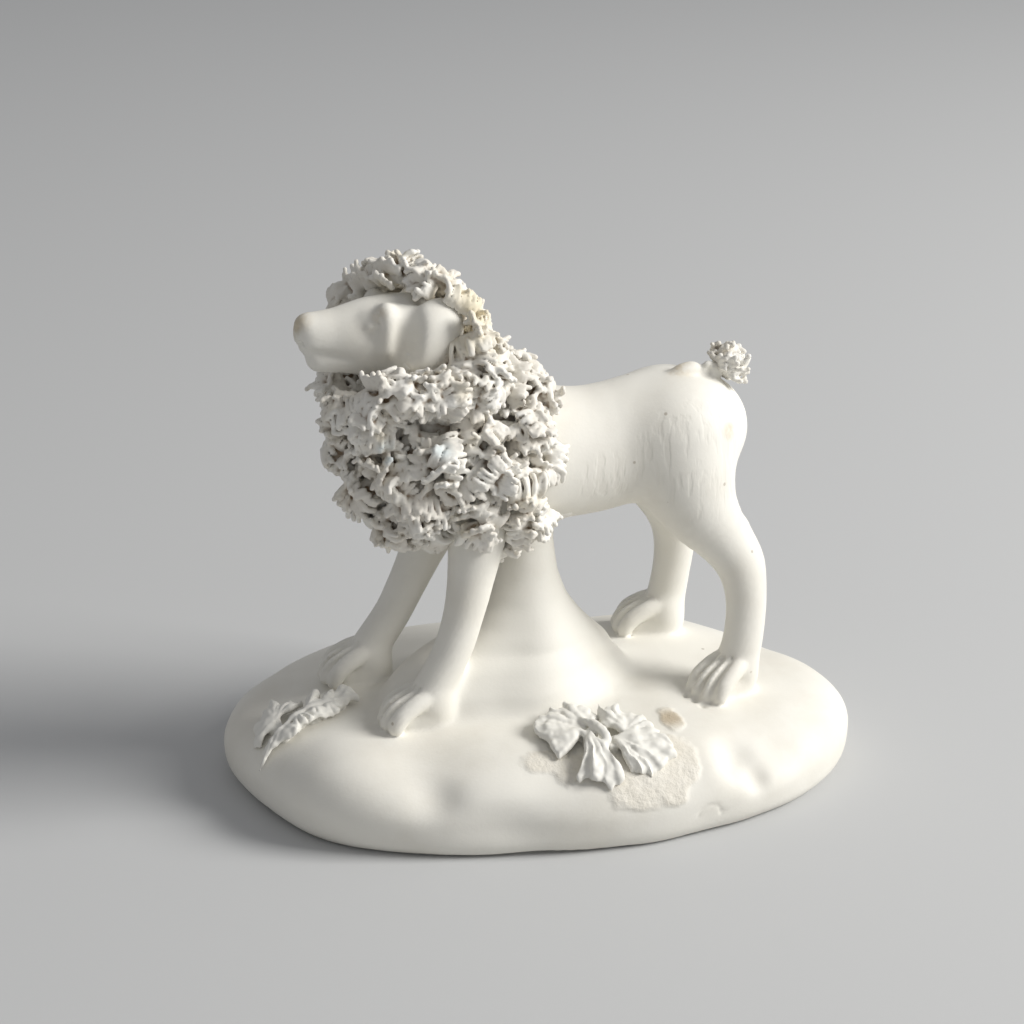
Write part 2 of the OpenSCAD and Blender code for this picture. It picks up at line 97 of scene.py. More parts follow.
class Clay:
    def __init__(self, low, high, step, reach):
        self.step, self.reach = step, reach
        self.axes = [np.arange(a, b, step, dtype=np.float32) for a, b in zip(low, high)]
        shape = [len(a) for a in self.axes]
        self.depth = np.full(shape, reach, np.float32)
        self.nearest = np.full(shape, reach, np.float32)
        self.owner = np.zeros(shape, np.int8)
        self.parts = ["none"]

    def window(self, low, high):
        cut = tuple(slice(int(np.searchsorted(axis, a)), int(np.searchsorted(axis, b)))
                    for axis, a, b in zip(self.axes, low, high))
        return cut, np.meshgrid(*[axis[c] for axis, c in zip(self.axes, cut)], indexing="ij", sparse=True)

    def rod(self, points, fine=4):
        # distance to a run of rounded cones, worked out piece by piece
        path = smoothPath(points, fine)
        pad = path[:, 3].max() + self.reach
        cut, _ = self.window(path[:, :3].min(0) - pad, path[:, :3].max(0) + pad)
        found = np.full([c.stop - c.start for c in cut], self.reach, np.float32)
        for a, b in zip(path[:-1], path[1:]):
            pad = max(a[3], b[3]) + self.reach
            part, (x, y, z) = self.window(np.minimum(a[:3], b[:3]) - pad, np.maximum(a[:3], b[:3]) + pad)
            run = b[:3] - a[:3]
            t = ((x - a[0]) * run[0] + (y - a[1]) * run[1] + (z - a[2]) * run[2]) / max(run @ run, 1e-9)
            t = np.clip(t, 0, 1)
            side = (y - a[1] - t * run[1]) / (a[4] + (b[4] - a[4]) * t)
            near = np.sqrt((x - a[0] - t * run[0]) ** 2 + side ** 2 + (z - a[2] - t * run[2]) ** 2)
            near = (near - a[3] - (b[3] - a[3]) * t).astype(np.float32)
            inner = tuple(slice(p.start - c.start, p.stop - c.start) for p, c in zip(part, cut))
            found[inner] = np.minimum(found[inner], near)
        return cut, found

    def egg(self, centre, radii, turn=(0, 0, 0)):
        # distance to an oval ball, turned about x, y and z in degrees
        radii = np.array(radii, float)
        pad = radii.max() + self.reach
        cut, (x, y, z) = self.window([c - pad for c in centre], [c + pad for c in centre])
        rx, ry, rz = [math.radians(a) for a in turn]
        about = np.array([[math.cos(rz), -math.sin(rz), 0], [math.sin(rz), math.cos(rz), 0], [0, 0, 1]])
        about = about @ np.array([[math.cos(ry), 0, math.sin(ry)], [0, 1, 0], [-math.sin(ry), 0, math.cos(ry)]])
        about = about @ np.array([[1, 0, 0], [0, math.cos(rx), -math.sin(rx)], [0, math.sin(rx), math.cos(rx)]])
        x, y, z = x - centre[0], y - centre[1], z - centre[2]
        local = [x * about[0, i] + y * about[1, i] + z * about[2, i] for i in range(3)]
        k0 = np.sqrt(sum((p / r) ** 2 for p, r in zip(local, radii))) + 1e-6
        k1 = np.sqrt(sum((p / (r * r)) ** 2 for p, r in zip(local, radii))) + 1e-6
        return cut, np.minimum(k0 * (k0 - 1) / k1, self.reach).astype(np.float32)

    def add(self, shape, blend, part):
        cut, near = shape
        if part not in self.parts:
            self.parts.append(part)
        closer = near < self.nearest[cut]
        self.owner[cut][closer] = self.parts.index(part)
        self.nearest[cut] = np.minimum(self.nearest[cut], near)
        self.depth[cut] = meet(self.depth[cut], near, blend)

    def carve(self, shape, blend):
        cut, near = shape
        self.depth[cut] = -meet(-self.depth[cut], near, blend)

    def skin(self):
        # one vertex in every cell that the surface crosses, joined into quads
        inside = self.depth < 0
        shape = inside.shape
        corners = [(i, j, k) for i in (0, 1) for j in (0, 1) for k in (0, 1)]
        count = np.zeros([s - 1 for s in shape], np.uint8)
        for i, j, k in corners:
            count += inside[i:shape[0] - 1 + i, j:shape[1] - 1 + j, k:shape[2] - 1 + k]
        cells = np.argwhere((count > 0) & (count < 8))
        place = np.zeros((len(cells), 3))
        hits = np.zeros(len(cells))
        for a in corners:
            for axis in range(3):
                if a[axis]:
                    continue
                b = tuple(v + (n == axis) for n, v in enumerate(a))
                va = self.depth[tuple((cells + a).T)].astype(float)
                vb = self.depth[tuple((cells + b).T)].astype(float)
                crossed = (va < 0) != (vb < 0)
                t = np.where(crossed, va / np.where(va == vb, 1, va - vb), 0)
                step = np.array(a) + t[:, None] * np.eye(3)[axis]
                place += step * crossed[:, None]
                hits += crossed
        number = np.full(count.shape, -1, np.int32)
        number[tuple(cells.T)] = np.arange(len(cells))
        quads = []
        for axis in range(3):
            u, v = (axis + 1) % 3, (axis + 2) % 3
            first = [slice(1, s - 1) for s in shape]
            first[axis] = slice(0, shape[axis] - 1)
            second = list(first)
            second[axis] = slice(1, shape[axis])
            a, b = inside[tuple(first)], inside[tuple(second)]
            for flip, where in ((False, a & ~b), (True, ~a & b)):
                at = np.argwhere(where) + [0 if n == axis else 1 for n in range(3)]
                ring = []
                for du, dv in ((-1, -1), (0, -1), (0, 0), (-1, 0)):
                    c = at.copy()
                    c[:, u] += du
                    c[:, v] += dv
                    ring.append(number[tuple(c.T)])
                quads.append(np.stack(ring[::-1] if flip else ring, 1))
        low = np.array([axis[0] for axis in self.axes])
        return low + (cells + place / hits[:, None]) * self.step, np.vstack(quads)

    def cellAt(self, points):
        low = np.array([axis[0] for axis in self.axes])
        at = np.clip(np.rint((points - low) / self.step).astype(int), 0, np.array(self.depth.shape) - 1)
        return tuple(at.T)

    def depthAt(self, points):
        return self.depth[self.cellAt(points)]

    def ownerAt(self, points):
        return self.owner[self.cellAt(points)]


def unit(ways):
    return ways / np.maximum(np.linalg.norm(ways, axis=1), 1e-12)[:, None]


def sidesOf(faces):
    width = faces.shape[1]
    return np.vstack([np.stack([faces[:, i], faces[:, (i + 1) % width]], 1) for i in range(width)])


def edgesOf(faces):
    return np.unique(np.sort(sidesOf(faces), 1), axis=0)


def neighbourMean(values, edges, count):
    out = np.zeros_like(values)
    total = np.bincount(edges.ravel(), minlength=count).astype(float)
    for i in range(values.shape[1]):
        out[:, i] = (np.bincount(edges[:, 0], values[edges[:, 1], i], count)
                     + np.bincount(edges[:, 1], values[edges[:, 0], i], count))
    return out / np.maximum(total, 1)[:, None]


def relax(points, faces, rounds=2, share=0.5, back=0.0):
    edges = edgesOf(faces)
    for _ in range(rounds):
        points = points + (neighbourMean(points, edges, len(points)) - points) * share
        if back:
            points = points - (neighbourMean(points, edges, len(points)) - points) * back
    return points


def normalsOf(points, faces):
    a, b, c = points[faces[:, 0]], points[faces[:, 1]], points[faces[:, 2]]
    flat = np.cross(b - a, c - a)
    if faces.shape[1] == 4:
        flat = np.cross(c - a, points[faces[:, 3]] - b)
    out = np.zeros_like(points)
    for corner in range(faces.shape[1]):
        for i in range(3):
            out[:, i] += np.bincount(faces[:, corner], flat[:, i], len(points))
    return unit(out)


def rough(points, grain, seed):
    # smooth random values from -0.5 to 0.5 with lumps of about that grain, in millimetres
    table = np.random.default_rng(seed).random((16, 16, 16)) - 0.5
    at = points / grain
    low = np.floor(at).astype(int)
    t = at - low
    t = t * t * (3 - 2 * t)
    total = np.zeros(len(points))
    for i in (0, 1):
        for j in (0, 1):
            for k in (0, 1):
                share = (t[:, 0] if i else 1 - t[:, 0]) * (t[:, 1] if j else 1 - t[:, 1])
                share = share * (t[:, 2] if k else 1 - t[:, 2])
                total += share * table[(low[:, 0] + i) % 16, (low[:, 1] + j) % 16, (low[:, 2] + k) % 16]
    return total


def hollowness(points, faces, rounds):
    # how far each point lies below its smoothed neighbourhood
    edges = edgesOf(faces)
    soft = points
    for _ in range(rounds):
        soft = neighbourMean(soft, edges, len(points))
    return ((soft - points) * normalsOf(points, faces)).sum(1)


def groupsOf(edges, count):
    # the number of the connected group that each item is in
    group = np.arange(count)
    while True:
        a, b = group[edges[:, 0]], group[edges[:, 1]]
        low = np.minimum(a, b)
        fresh = group.copy()
        np.minimum.at(fresh, a, low)
        np.minimum.at(fresh, b, low)
        while not np.array_equal(fresh, fresh[fresh]):
            fresh = fresh[fresh]
        if np.array_equal(fresh, group):
            return group
        group = fresh


def solidOnly(points, faces, least=2.0):
    # drops closed hollows inside the mass and crumbs smaller than so many cubic millimetres
    group = groupsOf(edgesOf(faces), len(points))[faces[:, 0]]
    a, b, c, d = [points[faces[:, i]] for i in range(4)]
    room = (a * np.cross(b, c)).sum(1) / 6 + (a * np.cross(c, d)).sum(1) / 6
    total = np.bincount(group, room, len(points))
    faces = faces[total[group] > least]
    used, flat = np.unique(faces, return_inverse=True)
    return points[used], flat.reshape(faces.shape)


def steadyLabels(faces, labels, least=60):
    # small islands of one label take the label next to them
    sides = np.sort(sidesOf(faces), 1)
    owner = np.tile(np.arange(len(faces)), faces.shape[1])
    order = np.lexsort((sides[:, 1], sides[:, 0]))
    same = (sides[order][1:] == sides[order][:-1]).all(1)
    pairs = np.stack([owner[order][:-1][same], owner[order][1:][same]], 1)
    labels = labels.copy()
    for _ in range(4):
        alike = labels[pairs[:, 0]] == labels[pairs[:, 1]]
        group = groupsOf(pairs[alike], len(faces))
        small = (np.bincount(group, minlength=len(faces))[group] < least) | (labels == 0)
        edge = pairs[~alike]
        edge = np.vstack([edge, edge[:, ::-1]])
        edge = edge[small[edge[:, 0]] & ~small[edge[:, 1]]]
        if not len(edge):
            break
        wanted = labels.copy()
        wanted[group[edge[:, 0]]] = labels[edge[:, 1]]
        touched = np.isin(group, group[edge[:, 0]])
        labels[touched] = wanted[group[touched]]
    return labels


def nearestLabels(points, faces, labels):
    # faces that nothing claims take the label of the nearest claimed one
    middle = points[faces].mean(1)
    claimed = np.nonzero(labels > 0)[0][::3]
    tree = KDTree(len(claimed))
    for i in claimed:
        tree.insert(middle[i], int(i))
    tree.balance()
    labels = labels.copy()
    for i in np.nonzero(labels == 0)[0]:
        labels[i] = labels[tree.find(middle[i])[1]]
    return labels


def closedPart(points, faces):
    # caps the flat rims of a part with fans; ragged rims stay open against their neighbour
    used, flat = np.unique(faces, return_inverse=True)
    faces = flat.reshape(faces.shape)
    points = points[used]
    n = len(points)
    going = sidesOf(faces)
    keys = going[:, 0].astype(np.int64) * n + going[:, 1]
    back = going[:, 1].astype(np.int64) * n + going[:, 0]
    rim = going[~np.isin(keys, back)]
    follow = {}
    for a, b in rim.tolist():
        follow.setdefault(b, []).append(a)
    extra, fans = [], []
    while follow:
        start = next(iter(follow))
        loop, at = [], start
        while at in follow:
            loop.append(at)
            onward = follow[at].pop()
            if not follow[at]:
                del follow[at]
            at = onward
        if len(loop) < 12:
            continue
        middle = points[loop].mean(0)
        off = points[loop] - middle
        if np.linalg.svd(off, full_matrices=False)[1][2] / math.sqrt(len(loop)) > 0.2:
            continue
        centre = n + len(extra)
        extra.append(middle)
        fans += [(loop[i], loop[(i + 1) % len(loop)], centre) for i in range(len(loop))]
    if extra:
        points = np.vstack([points, extra])
    return points, faces, np.array(fans, int).reshape(-1, 3), used


def meshFrom(name, points, faces, fans=None):
    # a mesh of faces of one width, with three-cornered fans after them
    fans = np.zeros((0, 3), int) if fans is None else fans
    width = faces.shape[1]
    loops = np.concatenate([faces.ravel(), fans.ravel()])
    starts = np.concatenate([np.arange(len(faces)) * width, len(faces) * width + np.arange(len(fans)) * 3])
    data = bpy.data.meshes.new(name)
    data.vertices.add(len(points))
    data.vertices.foreach_set("co", points.astype(np.float32).ravel())
    data.loops.add(len(loops))
    data.loops.foreach_set("vertex_index", loops.astype(np.int32))
    data.polygons.add(len(starts))
    data.polygons.foreach_set("loop_start", starts.astype(np.int32))
    data.update(calc_edges=True)
    return data


def makePiece(name, points, faces, fans, normals):
    # points come in millimetres in the dog's frame and go out in metres
    points = turnPoints(points, claySettings["dogTurn"]) * 0.001
    data = meshFrom(name, points, faces, fans)
    data.polygons.foreach_set("use_smooth", np.ones(len(data.polygons), bool))
    turned = turnPoints(normals, claySettings["dogTurn"])
    corner = np.zeros((len(data.loops), 3))
    corner[:faces.size] = turned[faces.ravel()]
    if fans is not None and len(fans):
        a, b, c = points[fans[:, 0]], points[fans[:, 1]], points[fans[:, 2]]
        corner[faces.size:] = np.repeat(unit(np.cross(b - a, c - a)), 3, 0)
    data.normals_split_custom_set(corner.tolist())
    piece = bpy.data.objects.new(name, data)
    bpy.context.scene.collection.objects.link(piece)
    return piece


# mound
# waves are size, count and phase; bulges are size, direction and spread; rims are shares of the half length and width
# dents are x, y, width and rise; pushes are x, y, z, width, height and depth, + is inward
moundSettings = {
    "length": 80.6,
    "width": 53.8,
    "table": {"half": 33.0, "step": 0.1, "low": -1.4, "high": 15.4},
    "top": 14.6,
    "waves": [(0.01, 4, 200), (0.006, 6, 110)],
    "bulges": [(0.036, 224, 17), (0.012, 322, 14)],
    "rims": [(0.958, 0.3), (0.988, 1.6), (1.0, 3.6), (0.997, 5.4), (0.97, 7.1), (0.92, 8.5), (0.84, 9.6),
             (0.72, 10.4), (0.56, 10.9), (0.36, 11.3), (0.12, 11.5), (0.0, 11.5)],
    "dents": [(26, -19, 4.5, -1.3), (-17, -18, 5, -0.9), (-29, -13, 6, 0.5), (15, -12, 8, 0.4),
              (-1, -24, 5, -0.6), (18, 13, 9, 0.9),
              (-14, 13, 8, 0.4)],
    "pushes": [(-25.8, -18.0, 8.6, 5.5, 4.0, -1.0), (-16.0, -23.4, 7.6, 2.8, 2.6, 1.0),
               (-8.0, -25.8, 4.6, 6.5, 2.8, 1.2),
               (21.4, -19.6, 8.4, 2.4, 2.4, 1.9), (23.8, -20.8, 5.9, 1.5, 1.5, 1.2),
               (18.2, -21.5, 7.4, 2.0, 2.6, -0.5),
               (-34.0, 4.0, 8.5, 6.0, 3.0, 0.4), (30.0, 12.0, 9.5, 7.0, 3.5, 0.4), (6.0, 22.0, 8.0, 8.0, 3.0, 0.5),
               (-20.0, 19.0, 8.5, 7.0, 3.5, -0.4), (33.0, -6.0, 8.6, 5.0, 3.0, -0.3)],
}


def moundOutline(turn):
    # the rim's gentle waves and bulges at an angle in degrees
    wave = 1
    for size, count, phase in moundSettings["waves"]:
        wave = wave + size * np.sin(np.radians(count * turn + phase))
    turn = turn % 360
    for size, way, wide in moundSettings["bulges"]:
        wave = wave + size * np.exp(-((turn - way) / wide) ** 2)
    return wave


def moundTable(rims, half, step, low, high):
    # distance to the mound's section, over share of radius and height
    path = smoothPath([(r * half, z, 0, 1) for r, z in rims], 6)[:, :2]
    ring = np.vstack([[(0, 0.3)], path])
    across, up = np.meshgrid(np.arange(0, half * 1.14, step), np.arange(low, high, step), indexing="ij")
    near = np.full(across.shape, 99.0)
    crossings = np.zeros(across.shape, int)
    for a, b in zip(ring, np.roll(ring, -1, 0)):
        run = b - a
        t = np.clip(((across - a[0]) * run[0] + (up - a[1]) * run[1]) / max(run @ run, 1e-9), 0, 1)
        axis = abs(a[0]) < 1e-6 and abs(b[0]) < 1e-6
        if not axis:
            near = np.minimum(near, np.hypot(across - a[0] - t * run[0], up - a[1] - t * run[1]))
        over = (a[1] > up) != (b[1] > up)
        where = a[0] + (up - a[1]) * run[0] / (run[1] if run[1] else 1)
        crossings += over & (across < where)
    return np.where(crossings % 2 == 1, -near, near)


def mound(clay):
    s = moundSettings
    grid = s["table"]
    table = moundTable(s["rims"], **grid)
    cut, (x, y, z) = clay.window((-60, -60, -60), (60, 60, s["top"]))
    a = math.radians(claySettings["dogTurn"])
    mx, my = x * math.cos(a) - y * math.sin(a), x * math.sin(a) + y * math.cos(a)
    px, py = mx / (s["length"] / 2), my / (s["width"] / 2)
    share = np.hypot(px, py) / moundOutline(np.degrees(np.arctan2(py, px)))
    rise = sum(d * np.exp(-((mx - cx) ** 2 + (my - cy) ** 2) / (w * w)) for cx, cy, w, d in s["dents"])
    fade = np.clip((z - 3) / 3.5, 0, 1)
    col = np.clip(share * grid["half"] / grid["step"], 0, table.shape[0] - 1.001)
    row = np.clip((z - rise * fade - grid["low"]) / grid["step"], 0, table.shape[1] - 1.001)
    col = np.broadcast_to(col, row.shape)
    i, j = col.astype(np.int32), row.astype(np.int32)
    f, g = (col - i).astype(np.float32), (row - j).astype(np.float32)
    table = table.astype(np.float32)
    under = table[i, j] * (1 - f) + table[i + 1, j] * f
    above = table[i, j + 1] * (1 - f) + table[i + 1, j + 1] * f
    near = under * (1 - g) + above * g
    for cx, cy, cz, wide, tall, depth in s["pushes"]:
        away = ((mx - cx) ** 2 + (my - cy) ** 2) / (wide * wide) + ((z - cz) / tall) ** 2
        near += (depth * np.exp(-away)).astype(np.float32)
    return cut, np.minimum(near, clay.reach)


# stump
stumpSettings = {
    "rows": [(-4.0, 9.6, 13.2), (-4.1, 11.0, 13.0), (-4.2, 12.3, 12.6), (-4.3, 13.5, 11.8), (-4.2, 14.9, 10.4),
             (-3.5, 16.5, 9.0), (-2.7, 18.4, 6.3), (-2.2, 20.6, 3.9), (-2.0, 23.2, 2.0), (-1.9, 26.5, 0.7),
             (-1.8, 31.0, 0.0), (-1.6, 37.0, 0.0)],
    "radius": 3.4,
    "back": 0.4,
    "wave": (0.05, 4, 0.35),
}


def stump(clay):
    rows = np.array(stumpSettings["rows"])
    cut, (x, y, z) = clay.window((-26, -20, 9.0), (18, 20, 38.0))
    level = z.ravel()
    middle = np.interp(level, rows[:, 1], rows[:, 0])
    flare = np.interp(level, rows[:, 1], rows[:, 2])
    for _ in range(6):
        flare[1:-1] = (flare[:-2] + 2 * flare[1:-1] + flare[2:]) / 4
    wide = stumpSettings["radius"] + flare
    deep = wide * np.maximum(0.62, 0.9 - 0.04 * flare)
    slope = np.abs(np.gradient(wide, level))
    lean = 1 / np.sqrt(1 + slope ** 2)
    shape = (1, 1, -1)
    back = y + stumpSettings["back"]
    turn = np.arctan2(back, x - middle.reshape(shape))
    size, count, phase = stumpSettings["wave"]
    wave = 1 + size * np.minimum(flare / 6, 1).reshape(shape) * np.sin(count * turn + phase)
    share = np.hypot((x - middle.reshape(shape)) / wide.reshape(shape), back / deep.reshape(shape)) / wave
    near = (share - 1) * (wide * deep / np.hypot(wide, deep) * 1.3).reshape(shape) * lean.reshape(shape)
    return cut, np.minimum(near, clay.reach).astype(np.float32)


# dog
bodySettings = {
    "barrel": [(-15, 0, 43.4, 6.4, 0.9), (-11, 0, 42.8, 8.4, 0.9), (-4, 0, 42.2, 8.8, 0.88),
               (4.2, 0, 41.8, 8.2, 0.86),
               (9, 0, 42.2, 8.0, 0.86), (13, 0, 43, 7.8, 0.92), (17, 0, 43.4, 7.5, 0.94), (20.1, 0, 43.5, 6.9, 0.94)],
    "neck": [(-10.5, 0, 44.5, 8, 0.86), (-12.6, 0, 49.5, 7.2, 0.86), (-14.4, 0, 54, 6.2, 0.86),
             (-15.4, 0, 57.5, 5, 0.86)],
    "blend": 2.2,
}
legSettings = {
    "foreGap": 7.0,
    "hindGap": 8.9,
    "radius": 2.4,
    "farForeLead": 4.6,
    "farHindLead": 3.6,
    "sole": 11.0,
    "foreAnkle": -16.0,
    "hindAnkle": 23.6,
    "nearHindSplay": 24,
    "farHindSplay": -14,
    "farForeSole": 11.4,
    "farHindSole": 11.9,
    "foreSplit": 32.5,
    "hindSplit": 33.5,
}
headSettings = {
    "skull": [(-12.8, 0, 58.6, 3.4, 0.82), (-15, 0, 58.8, 4.6, 0.82), (-17.8, 0, 58.9, 5.0, 0.82),
              (-20.6, 0, 59.0, 4.7, 0.78),
              (-22.6, 0, 59.2, 3.9, 0.8)],
    "muzzle": [(-20.6, 0, 59.2, 4.1, 0.8), (-23.4, 0, 59.55, 3.35, 0.86), (-26.0, 0, 59.7, 2.95, 0.86),
               (-27.5, 0, 59.75, 2.75, 0.84)],
    "jaw": [(-19.4, 0, 57.4, 3.7, 0.8), (-23.4, 0, 57.2, 2.5, 0.98), (-26.0, 0, 56.95, 1.95, 0.98),
            (-27.2, 0, 56.9, 1.75, 0.94)],
    "eye": (-21.5, 3.45, 61.25),
    "ear": {"centre": (-14.6, 4.3, 59.8), "radii": (3.6, 1.95, 4.7), "turn": (12, 36, 0)},
    "split": ((-14.8, 0, 54.4), 20.0),
}
tailSettings = {
    "root": [(16.9, -0.6, 50.3, 0.9), (18.2, -0.6, 50.9, 1.05), (19.8, -0.4, 51.1, 1.0), (20.6, -0.3, 50.6, 0.6)],
    "curl": [(21.0, -0.7, 50.9, 0.45), (21.4, -0.9, 51.8, 0.42), (22.1, -0.8, 51.6, 0.42), (22.4, -0.6, 50.8, 0.5)],
    "stub": [(21.4, 0.0, 50.2, 1.0), (22.8, 0.0, 50.6, 1.1), (24.0, 0.0, 51.2, 1.0)],
}


def forePath(side, lead):
    s = legSettings
    gap, r = s["foreGap"], s["radius"]
    return [(-8.6, side * 4, 41, 4.4, 0.95), (-9.4 - lead * 0.3, side * 5, 35, 3.7, 0.95),
            (-10.4 - lead * 0.6, side * (gap - 1.3), 29.5, r + 0.6, 0.95),
            (-11.6 - lead * 0.8, side * (gap - 0.7), 24.5, r + 0.1, 0.95),
            (-13.2 - lead * 0.9, side * (gap - 0.2), 20, r - 0.05, 0.95),
            (-15.4 - lead, side * gap, 15.8, r + 0.05, 0.95),
            (-16.6 - lead, side * gap, 13.6, r + 0.1, 0.95)]


def hindPath(side, lead):
    s = legSettings
    gap, r = s["hindGap"], s["radius"]
    return [(17.2, side * 3.1, 43.4, 6.9, 0.86), (17.6, side * 3.9, 39.4, 6.5, 0.86),
            (19.1 - lead * 0.2, side * 5.2, 35, 5.0, 0.86),
            (21.9 - lead * 0.6, side * (gap - 2.3), 30.8, r + 1.2, 0.86),
            (24.1 - lead * 0.9, side * (gap - 1.3), 27, r + 0.55, 0.86),
            (24.8 - lead, side * (gap - 0.5), 22.5, r + 0.15, 0.86), (24.4 - lead, side * gap, 17.8, r + 0.15, 0.86),
            (23.6 - lead, side * gap, 14, r + 0.4, 0.86)]


def addPaw(clay, ankle, splay, part, sole):
    a = math.radians(splay)

    def place(points):
        return [(ankle[0] + p[0] * math.cos(a) - p[1] * math.sin(a),
                 ankle[1] + p[0] * math.sin(a) + p[1] * math.cos(a)) + tuple(p[2:])
                for p in points]
    clay.add(clay.rod(place([(0.2, 0, sole + 3.2, 2.45), (0.3, 0, sole + 0.9, 2.4),
                             (-3.0, 0, sole + 0.5, 2.0)])), 0.8, part)
    for k in (-1.5, -0.5, 0.5, 1.5):
        reach = 6.9 - 0.34 * k * k
        toe = [(0.2, k * 0.74, sole + 3.9, 1.25), (-reach * 0.36, k * 1.16, sole + 3.2, 1.22),
               (-reach * 0.7, k * 1.42, sole + 1.95, 1.16),
               (-reach + 1.0, k * 1.5, sole + 0.6, 1.0)]
        clay.add(clay.rod(place(toe), 3), 0.12, part)
    for k in (-1, 0, 1):
        groove = [(-1.4, k * 0.98, sole + 5.0, 0.1), (-2.9, k * 1.16, sole + 4.1, 0.3),
                  (-4.8, k * 1.4, sole + 2.7, 0.38),
                  (-6.6, k * 1.5, sole + 1.2, 0.42), (-7.4, k * 1.5, sole + 0.1, 0.4)]
        clay.carve(clay.rod(place(groove), 4), 0.25)


def buildDog(clay):
    b, l, h = bodySettings, legSettings, headSettings
    clay.add(clay.rod(b["barrel"], 12), 0, "torso")
    clay.add(clay.rod(b["neck"]), b["blend"], "torso")
    for side, name in ((-1, "left"), (1, "right")):
        lead = l["farForeLead"] if side > 0 else 0
        clay.add(clay.rod(forePath(side, lead)), b["blend"], "fore_leg_" + name)
        lead = l["farHindLead"] if side > 0 else 0
        clay.add(clay.rod(hindPath(side, lead)), b["blend"], "hind_leg_" + name)
    # each hind leg shows its tendon and the hollow in front of it
    for side, lead in ((-1, 0), (1, l["farHindLead"])):
        x = -lead
        clay.add(clay.rod([(24.6 + x, side * 6.3, 32.0, 0.7), (26.1 + x * 0.95, side * 7.3, 28.2, 0.85),
                           (26.2 + x, side * 8.0, 25.4, 0.75),
                           (25.9 + x, side * 8.4, 21.5, 0.6)]), 1.3,
                 "hind_leg_left" if side < 0 else "hind_leg_right")
    clay.add(stump(clay), 1.8, "stump")
    clay.add(mound(clay), 2.0, "base_mound")
    fore, hind = l["foreAnkle"], l["hindAnkle"]
    addPaw(clay, (fore, -l["foreGap"]), 0, "fore_leg_left", l["sole"])
    addPaw(clay, (fore - l["farForeLead"], l["foreGap"]), 0, "fore_leg_right", l["farForeSole"])
    addPaw(clay, (hind, -l["hindGap"]), l["nearHindSplay"], "hind_leg_left", l["sole"])
    addPaw(clay, (hind - l["farHindLead"], l["hindGap"]), l["farHindSplay"], "hind_leg_right", l["farHindSole"])
    print("dog body laid up")

    clay.add(clay.rod(h["skull"]), 1.5, "head")
    clay.add(clay.rod(h["muzzle"]), 1.0, "head")
    clay.add(clay.rod(h["jaw"]), 0.7, "head")
    clay.add(clay.egg((-28.8, 0, 61.0), (1.25, 1.5, 1.25)), 0.8, "head")
    for side in (-1, 1):
        clay.add(clay.rod([(-17.2, side * 2.8, 61.4, 1.7), (-19.4, side * 2.8, 61.8, 1.45),
                           (-21.4, side * 2.2, 61.5, 1.1)]), 1.2, "head")
        clay.carve(clay.egg((-22.1, side * 4.6, 61.3), (2.2, 1.5, 1.8)), 1.0)
        clay.add(clay.rod([(-19.8, side * 3.3, 63.0, 0.8), (-19.7, side * 3.75, 60.8, 0.9),
                           (-19.8, side * 3.6, 58.6, 0.9)]), 1.2, "head")
        ex, ey, ez = h["eye"]
        clay.add(clay.egg((ex, side * (ey - 0.45), ez), (0.95, 0.55, 0.72), (0, -10, 0)), 0.12, "head")
        clay.carve(clay.rod([(ex - 1.15, side * (ey - 0.2), ez - 0.1, 0.1),
                             (ex, side * (ey + 0.1), ez - 0.75, 0.13), (ex + 1.1, side * (ey + 0.15), ez, 0.1),
                             (ex, side * (ey - 0.15), ez + 0.75, 0.13),
                             (ex - 1.15, side * (ey - 0.2), ez - 0.1, 0.1)]), 0.16)
        e = h["ear"]
        clay.add(clay.egg((e["centre"][0], side * e["centre"][1], e["centre"][2]), e["radii"],
                          (e["turn"][0] * side, e["turn"][1], 0)), 0.9,
                 "ear_left" if side < 0 else "ear_right")
        clay.carve(clay.rod([(-17.5, side * 4.9, 63.4, 0.8), (-17.6, side * 5.5, 61.2, 1.15),
                             (-17.8, side * 5.4, 58.4, 0.95)]), 1.6)
        clay.carve(clay.egg((-29.7, side * 1.1, 59.2), (0.5, 0.5, 0.35)), 0.4)
        clay.carve(clay.rod([(-30.3, side * 0.1, 58.5, 0.4), (-29.5, side * 1.3, 58.3, 0.42),
                             (-27.9, side * 1.9, 57.95, 0.46),
                             (-25.9, side * 2.25, 57.55, 0.4), (-24.2, side * 2.6, 57.15, 0.25)]), 0.35)
        clay.carve(clay.egg((-30.15, side * 0.85, 61.0), (0.5, 0.32, 0.35)), 0.3)
    clay.add(clay.rod(tailSettings["root"]), 0.4, "tail")
    clay.add(clay.rod(tailSettings["curl"]), 0.3, "tail")
    clay.add(clay.rod(tailSettings["stub"]), 0.5, "tail")
    print("head and tail laid up")


def partOf(clay, middle):
    # names the piece that each face belongs to
    owner = clay.ownerAt(middle)
    name = {p: i for i, p in enumerate(clay.parts)}
    x, y, z = middle.T
    out = owner.copy()
    legs = [name["fore_leg_left"], name["fore_leg_right"]]
    out[np.isin(owner, legs) & (z > legSettings["foreSplit"])] = name["torso"]
    legs = [name["hind_leg_left"], name["hind_leg_right"]]
    out[np.isin(owner, legs) & (z > legSettings["hindSplit"])] = name["torso"]
    (cx, _, cz), tip = headSettings["split"]
    tip = math.radians(tip)
    headward = (x - cx) * -math.sin(tip) + (z - cz) * math.cos(tip)
    out[(out == name["torso"]) & (headward > 0)] = name["head"]
    out[(out == name["head"]) & (headward < 0)] = name["torso"]
    return out


